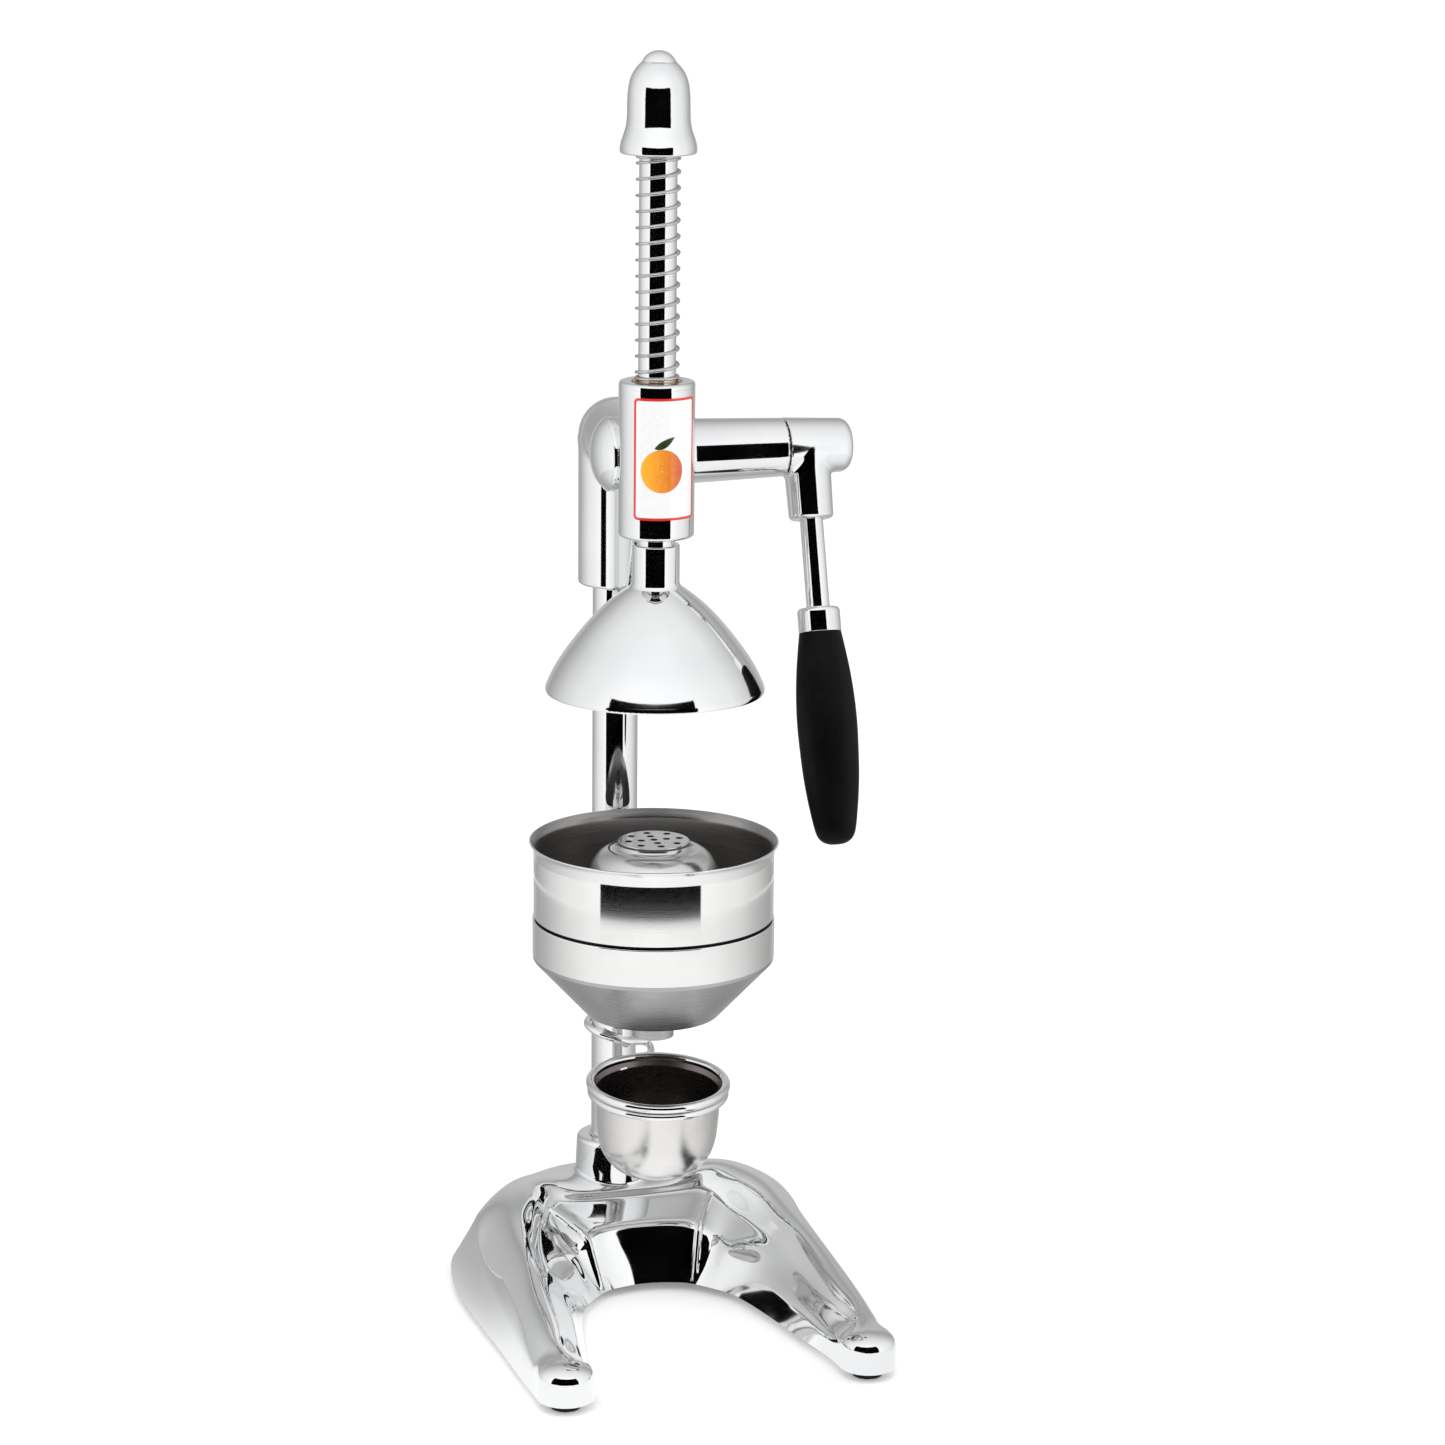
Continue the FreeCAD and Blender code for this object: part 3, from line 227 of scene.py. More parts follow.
RECIPES = {
    "chrome": (chrome,),
    "chrome_casting": (chrome, 0.05),
    "satin_steel": (satin_steel, (0.86, 0.855, 0.85), (0.8, 0.795, 0.79), 0.035, 0.075, 0.012),
    # painted shade: base colour far darker than the steel's own, for the hollows inside the cup and the funnel
    "cup_funnel_hollow_painted_shade": (satin_steel, (0.42, 0.41, 0.405), (0.34, 0.33, 0.325), 0.26, 0.4),
    # satin finish with painted shade: base colour darker than the steel's own, standing in for dark surroundings
    # seen in the cone
    "funnel_cone_satin_painted_shade": (satin_steel, (0.5, 0.5, 0.5), (0.42, 0.42, 0.42), 0.22, 0.34),
    # painted shade: dark brown grey base colour inside the bowl, far darker than its steel
    "bowl_hollow_painted_shade": (satin_steel, (0.24, 0.22, 0.21), (0.17, 0.155, 0.15), 0.22, 0.34),
    "reamer_steel": (satin_steel, (0.72, 0.715, 0.71), (0.62, 0.615, 0.61), 0.16, 0.26),
    "steel": (machined_steel,),
    "bowl_satin": (satin_steel, (0.8, 0.79, 0.78), (0.7, 0.69, 0.68), 0.17, 0.27),
    # painted shade: near-black band at the cup's foot, so its joint with the funnel reads dark; the cup is steel
    # there and the band shows when the cup is lifted
    "seam_painted_shade": (satin_steel, (0.03, 0.03, 0.03), (0.02, 0.02, 0.02), 0.3, 0.4),
    "spring_steel": (machined_steel,),
    "bronze": (mottled, (0.6, 0.42, 0.2), 1.0, 0.3, ((0.66, 0.46, 0.22), (0.48, 0.34, 0.17)), (200, 4),
               (0.22, 0.42), (900, 3), (0.1, 0.02), (2000, 2), {}),
    "black_grip": (mottled, (0.002,) * 3, 0.0, 0.4, ((0.0015,) * 3, (0.003,) * 3), (60, 6),
                   (0.34, 0.48), (250, 4), (0.1, 0.03), (1800, 4), {"Specular_IOR_Level": 0.08}),
    "black_rubber": (mottled, (0.008,) * 3, 0.0, 0.7, ((0.005,) * 3, (0.011,) * 3), (150, 5),
                     (0.6, 0.8), (400, 4), (0.3, 0.05), (2200, 4), {"Specular_IOR_Level": 0.15}),
    "label_foil": (chrome,),
    "label_white": (printed, (0.78, 0.78, 0.78), (0.76, 0.76, 0.76)),
    "label_red": (printed, (0.68, 0.02, 0.015), (0.58, 0.015, 0.01)),
    "fruit_orange": (fruit_print,),
    "leaf_green": (printed, (0.035, 0.07, 0.012), (0.015, 0.035, 0.006)),
}
MATERIALS = {name: make(name, *values) for name, (make, *values) in RECIPES.items()}


# ---- mesh building
def add_object(name, data):
    made = bpy.data.objects.new(name, data)
    bpy.context.scene.collection.objects.link(made)
    return made


def new_piece(name, points_mm, faces, body, replaced=(), slot="chrome", materials=None,
              face_materials=None, normals=None, sharp_deg=38):
    """A mesh piece in the row frame that rides a body and stands for the given CAD nodes."""
    mesh = bpy.data.meshes.new(name)
    points = np.asarray(points_mm, float) * MM
    mesh.from_pydata(points.tolist(), [], faces)
    for key in materials or [slot]:
        mesh.materials.append(MATERIALS[key])
    if face_materials is not None:
        mesh.polygons.foreach_set("material_index", np.asarray(face_materials, np.int32))
    mesh.polygons.foreach_set("use_smooth", [True] * len(mesh.polygons))
    mesh.validate()
    mesh.update()
    if normals is not None:
        mesh.normals_split_custom_set_from_vertices(np.asarray(normals).tolist())
    elif sharp_deg:
        mesh.set_sharp_from_angle(angle=math.radians(sharp_deg))
    piece = add_object(name, mesh)
    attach(piece, body)
    if replaced:
        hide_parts(*replaced)
    return piece


def travelled(path):
    """Distance along a path to each of its points."""
    return np.concatenate([[0], np.cumsum(np.linalg.norm(np.diff(path, axis=0), axis=1))])


def shares(path):
    along = travelled(path)
    return along / along[-1]


def sampled(path, along, at):
    """Points (two coordinates) at distances at, on a path whose own points are at distances along."""
    return np.stack([np.interp(at, along, path[:, k]) for k in (0, 1)], -1)


def smooth_run(points, count):
    """A natural cubic spline through points, sampled evenly along its chord length."""
    points = np.asarray(points, float)
    knots = travelled(points)
    return spline(knots, points, np.linspace(0, knots[-1], count))


def spline(knots, values, at):
    """Natural cubic spline through values (one row per knot)."""
    n = len(knots)
    gaps = np.diff(knots)
    slopes = np.diff(values, axis=0) / gaps[:, None]
    matrix = np.eye(n)
    right = np.zeros_like(values)
    for i in range(1, n - 1):
        matrix[i, i - 1] = gaps[i - 1]
        matrix[i, i] = 2 * (gaps[i - 1] + gaps[i])
        matrix[i, i + 1] = gaps[i]
        right[i] = 6 * (slopes[i] - slopes[i - 1])
    bend = np.linalg.solve(matrix, right)
    i = np.clip(np.searchsorted(knots, at, side="right") - 1, 0, n - 2)
    h = gaps[i][:, None]
    a = (knots[i + 1] - at)[:, None] / h
    b = (at - knots[i])[:, None] / h
    return (a * values[i] + b * values[i + 1]
            + ((a ** 3 - a) * bend[i] + (b ** 3 - b) * bend[i + 1]) * h ** 2 / 6)


def outline(*corners):
    """A profile of (radius, height) points. A third number rounds that corner by that radius."""
    points = []
    for i, corner in enumerate(corners):
        at = np.array(corner[:2], float)
        if len(corner) < 3:
            points.append(tuple(at))
            continue
        before = np.array(corners[i - 1][:2], float) - at
        after = np.array(corners[i + 1][:2], float) - at
        before /= np.linalg.norm(before)
        after /= np.linalg.norm(after)
        half = math.acos(np.clip(before @ after, -1, 1)) / 2
        reach = corner[2] / math.tan(half)
        start, end = at + before * reach, at + after * reach
        centre = at + (before + after) / np.linalg.norm(before + after) * corner[2] / math.sin(half)
        points.append(tuple(start + before * 0.25))
        for t in np.linspace(0, 1, 6):
            arm = (start - centre) * (1 - t) + (end - centre) * t
            points.append(tuple(centre + arm / np.linalg.norm(arm) * corner[2]))
        points.append(tuple(end + after * 0.25))
    return points


def placed(points, place):
    """Points carried by a 4 by 4 matrix, or left alone without one."""
    points = np.array(points, float)
    if place is None:
        return points
    matrix = np.array(place)
    return points @ matrix[:3, :3].T + matrix[:3, 3]


def lathe(name, runs, body, replaced=(), slot="chrome", place=None, segments=144):
    """Turns a closed profile. runs is a list of (material, points); each run starts where the last ended."""
    profile, run_of_step, materials = [], [], []
    for material, points in runs:
        if material not in materials:
            materials.append(material)
        start = 0 if not profile else 1
        for point in points[start:]:
            if profile:
                run_of_step.append(materials.index(material))
            profile.append(point)
    if np.allclose(profile[0], profile[-1]):
        profile.pop()
    else:
        run_of_step.append(run_of_step[-1])
    profile, run_of_step = with_support(profile, run_of_step)
    vertices, rings = [], []
    for radius, height in profile:
        if radius < 1e-6:
            rings.append([len(vertices)] * segments)
            vertices.append((0, 0, height))
            continue
        rings.append(list(range(len(vertices), len(vertices) + segments)))
        for k in range(segments):
            angle = 2 * math.pi * k / segments
            vertices.append((radius * math.cos(angle), radius * math.sin(angle), height))
    faces, face_materials = [], []
    for i, ring in enumerate(rings):
        following = rings[(i + 1) % len(rings)]
        if ring[0] == ring[1] and following[0] == following[1]:
            continue
        for k in range(segments):
            k2 = (k + 1) % segments
            faces.append(list(dict.fromkeys([ring[k], ring[k2], following[k2], following[k]])))
            face_materials.append(run_of_step[i])
    return new_piece(name, placed(vertices, place), faces, body, replaced, slot, materials,
                     face_materials)


def with_support(profile, run_of_step):
    """Adds a ring near each end of long straight stretches, so that their shading stays straight."""
    points, runs = [], []
    for i, here in enumerate(profile):
        following = profile[(i + 1) % len(profile)]
        points.append(here)
        runs.append(run_of_step[i])
        span = math.dist(here, following)
        if span > 2.5 and max(here[0], following[0]) > 1e-6:
            for share in (0.4 / span, 1 - 0.4 / span):
                points.append((here[0] + (following[0] - here[0]) * share,
                               here[1] + (following[1] - here[1]) * share))
                runs.append(run_of_step[i])
    return points, runs


def grid_faces(rows, columns, first=0, close=False):
    faces = []
    for i in range(rows - 1):
        for j in range(columns if close else columns - 1):
            j2 = (j + 1) % columns
            a = first + i * columns
            faces.append((a + j, a + j2, a + columns + j2, a + columns + j))
    return faces


def tube(path, radius, sides=20):
    """Round wire along a path, closed at both ends with domes. Returns points and faces."""
    path = np.asarray(path, float)
    tangents = np.gradient(path, axis=0)
    tangents /= np.linalg.norm(tangents, axis=1)[:, None]
    across = np.cross(tangents[0], [0.0, 0.0, 1.0])
    if np.linalg.norm(across) < 0.1:
        across = np.cross(tangents[0], [1.0, 0.0, 0.0])
    angles = np.linspace(0, 2 * math.pi, sides, endpoint=False)
    dome = [(math.sin(a), math.cos(a)) for a in np.linspace(0.12, math.pi / 2, 5)[:-1]]
    bulge = radius * 0.6
    spots = [(path[0] - tangents[0] * bulge * back, tangents[0], size) for size, back in dome]
    spots += [(centre, tangent, 1) for centre, tangent in zip(path, tangents)]
    spots += [(path[-1] + tangents[-1] * bulge * back, tangents[-1], size) for size, back in reversed(dome)]
    rings = []
    for centre, tangent, size in spots:
        across = across - tangent * (across @ tangent)
        across /= np.linalg.norm(across)
        upward = np.cross(tangent, across)
        spokes = np.outer(np.cos(angles), across) + np.outer(np.sin(angles), upward)
        rings.append(centre + radius * size * spokes)
    points = np.concatenate(rings)
    faces = grid_faces(len(rings), sides, close=True)
    faces.append(tuple(reversed(range(sides))))
    faces.append(tuple(range(len(points) - sides, len(points))))
    return points, faces


# ---- castings as rounded unions
def length(*parts):
    return np.sqrt(sum(part ** 2 for part in parts))


def capped(radial, axial, radius, half, rounding):
    """Distance to a cylinder with rounded rims, from the distance to its axis and along it."""
    outside = radial - radius + rounding
    beyond = np.abs(axial) - half + rounding
    inner = np.minimum(np.maximum(outside, beyond), 0)
    return inner + length(np.maximum(outside, 0), np.maximum(beyond, 0)) - rounding


def blend_union(a, b, softness):
    """Smooth union: the two shapes meet in a fillet about as wide as softness."""
    h = np.clip(0.5 + 0.5 * (b - a) / softness, 0, 1)
    return b * (1 - h) + a * h - softness * h * (1 - h)


def implicit_mesh(distance, low, high, cell):
    """Quads on the surface distance = 0 (surface nets), pulled exactly onto it, with its normals."""
    axes = [np.arange(low[k], high[k] + cell, cell) for k in range(3)]
    grid = np.stack(np.meshgrid(*axes, indexing="ij"), -1)
    inside = distance(grid) < 0
    counts = np.zeros(np.array(inside.shape) - 1, int)
    for shift in np.ndindex(2, 2, 2):
        counts += inside[tuple(slice(d, d + n) for d, n in zip(shift, counts.shape))]
    crossing = (counts > 0) & (counts < 8)
    index = -np.ones(counts.shape, int)
    index[crossing] = np.arange(crossing.sum())
    points = np.argwhere(crossing) * cell + np.array([a[0] for a in axes]) + cell / 2
    for _ in range(6):
        value, normal = gradient(distance, points)
        points = points - np.clip(value, -cell, cell)[:, None] * normal * 0.9
    _, normal = gradient(distance, points)
    faces = []
    for axis in range(3):
        first, second = [k for k in range(3) if k != axis]
        lower = np.take(inside, range(inside.shape[axis] - 1), axis)
        upper = np.take(inside, range(1, inside.shape[axis]), axis)
        for at in np.argwhere(lower != upper):
            if at[first] == 0 or at[second] == 0 or np.any(at >= index.shape):
                continue
            corners = []
            for back_first, back_second in ((0, 0), (1, 0), (1, 1), (0, 1)):
                cell_at = at.copy()
                cell_at[[first, second]] -= back_first, back_second
                corners.append(int(index[tuple(cell_at)]))
            if min(corners) < 0:
                continue
            if (axis == 1) == bool(lower[tuple(at)]):
                corners.reverse()
            faces.append(corners)
    return points, faces, normal


def gradient(distance, points):
    """Distance to the surface and its normal, by central differences."""
    step = 0.02
    value = distance(points)
    normal = np.stack([(distance(points + shift) - distance(points - shift)) / (2 * step)
                       for shift in np.eye(3) * step], -1)
    size = np.maximum(np.linalg.norm(normal, axis=1), 1e-6)
    return value / size, normal / size[:, None]


# ---- base casting
# Sections of the horseshoe from the right toe to the middle of the back, each with its outer
# bottom edge, outer crease, crest, groove lip, groove, ledge edge and inner bottom edge.
BASE_SECTIONS = np.array([
    [(96.4, -128.7, 5), (96.4, -128.7, 17), (81.6, -128.7, 25.6), (76, -128.7, 24.8),
     (71, -128.7, 22.8), (66.8, -128.7, 17), (66.8, -128.7, 5)],
    [(97.1, -116, 5), (95.5, -116, 18), (85.5, -116, 27), (79.5, -116, 26),
     (77, -116, 22.6), (66.2, -116, 16), (65.4, -116, 5)],
    [(98.2, -95, 5), (95, -95, 20), (86.5, -95, 31), (77.8, -95, 28.5),
     (74.8, -95, 23.8), (64.6, -95, 16.5), (61, -95, 5)],
    [(99.3, -60, 5), (94, -60, 23), (85, -60, 37), (74.2, -60, 33),
     (71, -60, 27), (60, -60, 18.5), (53.6, -60, 5)],
    [(101.5, -20, 5), (93, -20, 28), (81, -20, 45), (70, -20, 40),
     (66, -20, 32.6), (53.5, -20, 21), (43.5, -20, 5)],
    [(102.6, 16, 5), (91, 18, 37), (77, 16, 51), (64.5, 12, 46),
     (60.3, 10, 35.3), (42.5, 1, 24), (34.5, -5, 5)],
    [(100.6, 46, 5), (87, 42, 43.5), (70, 40, 55.5), (57.5, 32, 51.5),
     (53, 33, 39), (39, 13, 28), (28.5, 2, 5)],
    [(92, 82, 5), (79, 69, 35), (61, 58, 55.5), (49, 48, 50.5),
     (44, 45, 43), (31.5, 16.5, 33.5), (23, 7, 5)],
    [(70, 102, 5), (61, 89, 35), (44, 75, 52), (34, 54, 47),
     (32.5, 50, 42), (22.5, 20.5, 36), (16, 10, 5)],
    [(38, 112, 5), (34, 103, 39), (25, 89, 49), (18, 55, 45.8),
     (17, 51.5, 41), (11.5, 22.3, 36.5), (8, 12, 5)],
    [(0, 115, 5), (0, 107, 40), (0, 93, 48.5), (0, 56, 45.5),
     (0, 52, 40.5), (0, 22.8, 36.5), (0, 12.7, 5)],
], float)
STATIONS = 361
TOE_X, TOE_Y, TOE_R = 81.6, -128.7, 14.8
TOE_PROFILE = smooth_run([(TOE_R, 17), (14.0, 19.6), (10.6, 22.8), (5.6, 24.8), (0, 25.6)], 40)
TOE_BLEND = 16.0


def bezier_corner(start, at, end, count):
    t = np.linspace(0, 1, count)[:, None, None]
    return (1 - t) ** 2 * start + 2 * t * (1 - t) * at + t ** 2 * end


def line(start, end, count):
    t = np.linspace(0, 1, count)[:, None, None]
    return start * (1 - t) + end * t


def toward(at, other, reach):
    step = other - at
    return at + step * np.minimum(reach / np.linalg.norm(step, axis=1), 0.45)[:, None]


def base_lines():
    """The seven feature lines of the casting, sampled finely from toe to toe."""
    mirrored = BASE_SECTIONS[:-1][::-1] * np.array([-1, 1, 1])
    sections = np.concatenate([BASE_SECTIONS, mirrored])
    knots = travelled(sections[:, 2])
    at = np.linspace(0, knots[-1], STATIONS)
    return [spline(knots, sections[:, i], at) for i in range(7)], at


def base_skin():
    """Outer skin as a grid of stations by profile points, with the toes' exact profile at its ends."""
    (outer, crease, crest, lip, groove, ledge, inner), at = base_lines()
    rim_bend, lip_bend, groove_bend = 4.0, 2.2, 2.0
    pole = 2 * crest - (crease + lip) / 2

    def crown(t):
        return (1 - t) ** 2 * crease + 2 * t * (1 - t) * pole + t ** 2 * lip

    crown_start, crown_top, crown_end = 0.16, 0.5, 0.9
    crease_low = toward(crease, outer, rim_bend)
    lip_low, groove_high = toward(lip, groove, lip_bend), toward(groove, lip, groove_bend)
    groove_end, ledge_start = toward(groove, ledge, rim_bend), toward(ledge, groove, rim_bend)
    ledge_end = toward(ledge, inner, rim_bend)
    parts = [
        line(outer, crease_low, 12),
        bezier_corner(crease_low, crease, crown(crown_start), 9),
        np.stack([crown(t) for t in np.linspace(crown_start, crown_top, 17)]),
        np.stack([crown(t) for t in np.linspace(crown_top, crown_end, 9)]),
        bezier_corner(crown(crown_end), lip, lip_low, 5),
        line(lip_low, groove_high, 4),
        bezier_corner(groove_high, groove, groove_end, 6),
        line(groove_end, ledge_start, 8),
        bezier_corner(ledge_start, ledge, ledge_end, 6),
        line(ledge_end, inner, 5),
    ]
    top = sum(len(part) - 1 for part in parts[:3])
    skin = np.concatenate([part[:-1] for part in parts[:-1]] + parts[-1:])
    skin = np.transpose(skin, (1, 0, 2))    # station, profile point, coordinate
    for end, sign in ((0, 1), (-1, -1)):
        centre = np.array([sign * TOE_X, TOE_Y, 0])
        row = skin[end]
        target = row.copy()
        for half, outward in ((slice(0, top + 1), sign), (slice(top, None), -sign)):
            points = row[half]
            path = points if outward == sign else points[::-1]
            radius_height = toe_at(shares(path))
            moved = np.stack([centre[0] + outward * radius_height[:, 0],
                              np.full(len(path), centre[1]), radius_height[:, 1]], -1)
            target[half] = moved if outward == sign else moved[::-1]
        change = target - row
        distance = np.abs(at - at[end])
        fade = np.clip(1 - distance / TOE_BLEND, 0, 1)
        fade = fade * fade * (3 - 2 * fade)
        skin += fade[:, None, None] * change[None]
    return skin, top


def toe_at(share):
    """Point (radius, height) of the toe's profile at a share of its length from the floor side."""
    profile = np.concatenate([[(TOE_R, FLOOR_GAP)], TOE_PROFILE])
    return sampled(profile, shares(profile), share)


def toe_rows(skin, top, end):
    """Meridians that carry the grid's end row round the toe by half a turn."""
    row = skin[end]
    centre = np.array([row[top][0], row[top][1], 0])
    sign = 1 if centre[0] > 0 else -1
    outer_half = row[:top + 1]
    inner_half = row[top:][::-1]
    first = shares(outer_half)
    last = np.interp(np.linspace(0, 1, top + 1), np.linspace(0, 1, len(inner_half)), shares(inner_half))
    rows = []
    for t in np.linspace(0, 1, 33):
        radius_height = toe_at(first * (1 - t) + last * t)
        angle = -math.pi * t
        direction = np.array([sign * math.cos(angle), math.sin(angle)])
        across = centre[:2] + radius_height[:, :1] * direction
        rows.append(np.concatenate([across, radius_height[:, 1:]], 1))
    return np.stack(rows)


def make_base():
    skin, top = base_skin()
    stations, width = skin.shape[:2]
    points = [skin.reshape(-1, 3)]
    faces = grid_faces(stations, width)
    for end in (0, -1):
        rows = toe_rows(skin, top, end)
        first = sum(len(p) for p in points)
        made = grid_faces(len(rows), top + 1, first)
        if end == 0:
            made = [tuple(reversed(f)) for f in made]
        points.append(rows.reshape(-1, 3))
        faces += made
    top_points = np.concatenate(points)
    tree = BVHTree.FromPolygons([Vector(p) for p in top_points.tolist()], faces)
    inside_points, inside_faces = base_underside(skin, len(top_points), top)
    piece = new_piece("base_casting", np.concatenate([top_points, inside_points]), faces + inside_faces,
                      "body", ["base"], "chrome_casting", sharp_deg=50)
    merge(piece, 0.02)
    return tree


def base_underside(skin, first, top):
    """Flat rim below, and the hollow under the bridge and the legs."""
    (outer, crease, crest, lip, groove, ledge, inner), _ = base_lines()
    wall = 5.0
    across = outer - inner
    across[:, 2] = 0
    across /= np.linalg.norm(across, axis=1)[:, None]
    up = np.array([0, 0, 1.0])
    ring = np.stack([
        outer - across * wall,
        crease - across * (wall + 1) - up * wall,
        crest - up * (wall + 1),
        groove - up * wall,
        ledge + across * (wall - 0.5) - up * wall,
        inner + across * (wall + 1),
    ], 1)
    solid = 26                              # stations at each toe that have no hollow
    ring = ring[solid:-solid]
    rows, width = ring.shape[:2]
    points = [ring.reshape(-1, 3)]
    faces = [tuple(reversed(f)) for f in grid_faces(rows, width, first)]
    rim_first = first + rows * width
    left, right = skin[solid:-solid, 0], skin[solid:-solid, -1]
    points += [left, right]
    for i in range(rows - 1):
        a = first + i * width
        b = rim_first + i
        c = rim_first + rows + i
        faces.append((b, a, a + width, b + 1))
        faces.append((a + width - 1, c, c + 1, a + 2 * width - 1))
    at = rim_first + 2 * rows
    for end in (0, rows - 1):
        a = first + end * width
        faces.append(tuple(range(a, a + width)))
    for part, toe_end in ((slice(0, solid + 1), 0), (slice(-solid - 1, None), -1)):
        rows_left, rows_right = skin[part, 0], skin[part, -1]
        count = len(rows_left)
        points += [rows_left, rows_right]
        for i in range(count - 1):
            faces.append((at + i, at + i + 1, at + count + i + 1, at + count + i))
        at += 2 * count
        rim = toe_rows(skin, top, toe_end)[:, 0]
        points.append(rim)
        faces.append(tuple(range(at, at + len(rim))))
        at += len(rim)
    return np.concatenate(points), faces


def merge(piece, distance_mm):
    """Joins doubled points and turns all faces outward."""
    work = bmesh.new()
    work.from_mesh(piece.data)
    bmesh.ops.remove_doubles(work, verts=work.verts, dist=distance_mm * MM)
    bmesh.ops.recalc_face_normals(work, faces=work.faces)
    work.to_mesh(piece.data)
    work.free()
    piece.data.polygons.foreach_set("use_smooth", [True] * len(piece.data.polygons))
    piece.data.set_sharp_from_angle(angle=math.radians(50))


def straight_down(tree, x, y):
    """Where a line straight down meets the casting, and the normal there."""
    return tree.ray_cast(Vector((x, y, 200)), Vector((0, 0, -1)))[:2]


def make_boss(tree):
    """The column's boss, with a small fillet that follows the casting round its foot."""
    boss_top = box_mm("base")[1][2]
    radius, foot, fillet, edge, gap = 20.5, 21.2, 2.2, 2.5, 0.15
    segments = 128
    rings = []
    for k in range(segments):
        angle = 2 * math.pi * k / segments
        direction = np.array([math.cos(angle), math.sin(angle)])
        reach = foot + fillet
        ground = straight_down(tree, direction[0] * reach, COLUMN_Y + direction[1] * reach)[0][2]
        column = [(reach - fillet * math.sin(t), ground + fillet * (1 - math.cos(t)) - 0.05)
                  for t in np.linspace(0, math.pi / 2, 7)]
        column[0] = (reach + 0.4, ground - 0.6)
        column += [(foot + (radius - foot) * t, ground + fillet + (boss_top - edge - ground - fillet) * t)
                   for t in np.linspace(0, 1, 6)[1:-1]]
        column += [(radius - edge + edge * math.cos(t), boss_top - edge + edge * math.sin(t))
                   for t in np.linspace(0, math.pi / 2, 8)]
        column += [(COLUMN_R + 1.6, boss_top), (COLUMN_R + gap, boss_top - 1.2),
                   (COLUMN_R + gap, boss_top - 8)]
        rings.append([(direction[0] * r, COLUMN_Y + direction[1] * r, z) for r, z in column])
    width = len(rings[0])
    faces = grid_faces(segments, width)
    last = (segments - 1) * width
    faces += [(last + j, last + j + 1, j + 1, j) for j in range(width - 1)]
    new_piece("base_boss", np.array(rings).reshape(-1, 3), faces, "body", ["base"], "chrome_casting")


RIB_PATH = [(46.0, 43.0), (26.0, 5.6)]
RIB_HALF_WIDTH, RIB_RISE, RIB_SINK = 2.6, 2.2, 0.3


def make_ribs(tree):
    """Two thin ridges at the ends of the front panel, from the groove over the ledge to the inner edge."""
    for side, label in ((1, "right"), (-1, "left")):
        start, end = [np.array([side * x, y]) for x, y in RIB_PATH]
        run = (end - start) / np.linalg.norm(end - start)
        sideways = np.array([-run[1], run[0], 0])
        rows = []
        for t in np.linspace(0, 1, 120):
            middle = start + (end - start) * t
            swell = math.sin(math.pi * min(1, max(0, t * 0.98 + 0.01))) ** 0.3
            row = []
            for s in np.linspace(-1, 1, 17):
                x, y, _ = np.array([*middle, 0]) + sideways * s * RIB_HALF_WIDTH
                at, normal = straight_down(tree, x, y)
                if at is None:
                    row.append((x, y, FLOOR_GAP))
                    continue
                rise = RIB_RISE * swell * math.cos(s * math.pi / 2) ** 1.2 if abs(s) < 0.99 else 0
                outward = normal if normal.z > 0 else -normal
                row.append(tuple(at + outward * (rise - RIB_SINK)))
            rows.append(row)
        new_piece("base_rib_" + label, np.array(rows).reshape(-1, 3), grid_faces(120, 17), "body", ["base"],
                  "chrome_casting", sharp_deg=0)


REAR_FEET = [(62.0, 82.0), (-62.0, 82.0)]


def make_feet():
    radius, recess_r, recess, top = 8.2, 4.6, 1.9, FLOOR_GAP + 0.3
    profile = outline((0, recess), (recess_r, recess), (recess_r, 0, 0.3), (radius, 0, 1.0),
                      (radius - 0.2, 3.2, 0.6), (radius - 0.9, top)) + [(0, top)]
    for i, (x, y) in enumerate([(TOE_X, TOE_Y), (-TOE_X, TOE_Y), *REAR_FEET]):
        place = Matrix.Translation((x, y, 0))
        lathe("rubber_foot_%d" % (i + 1), [("black_rubber", profile)], "body", ["rubber_feet"],
              "black_rubber", place, segments=64)


# ---- head casting and lever hub
def tapered(x, end, start_r, end_r):
    """Radius that runs evenly from start_r at x = 0 to end_r at x = end."""
    return start_r + (end_r - start_r) * np.clip(x / end, 0, 1)


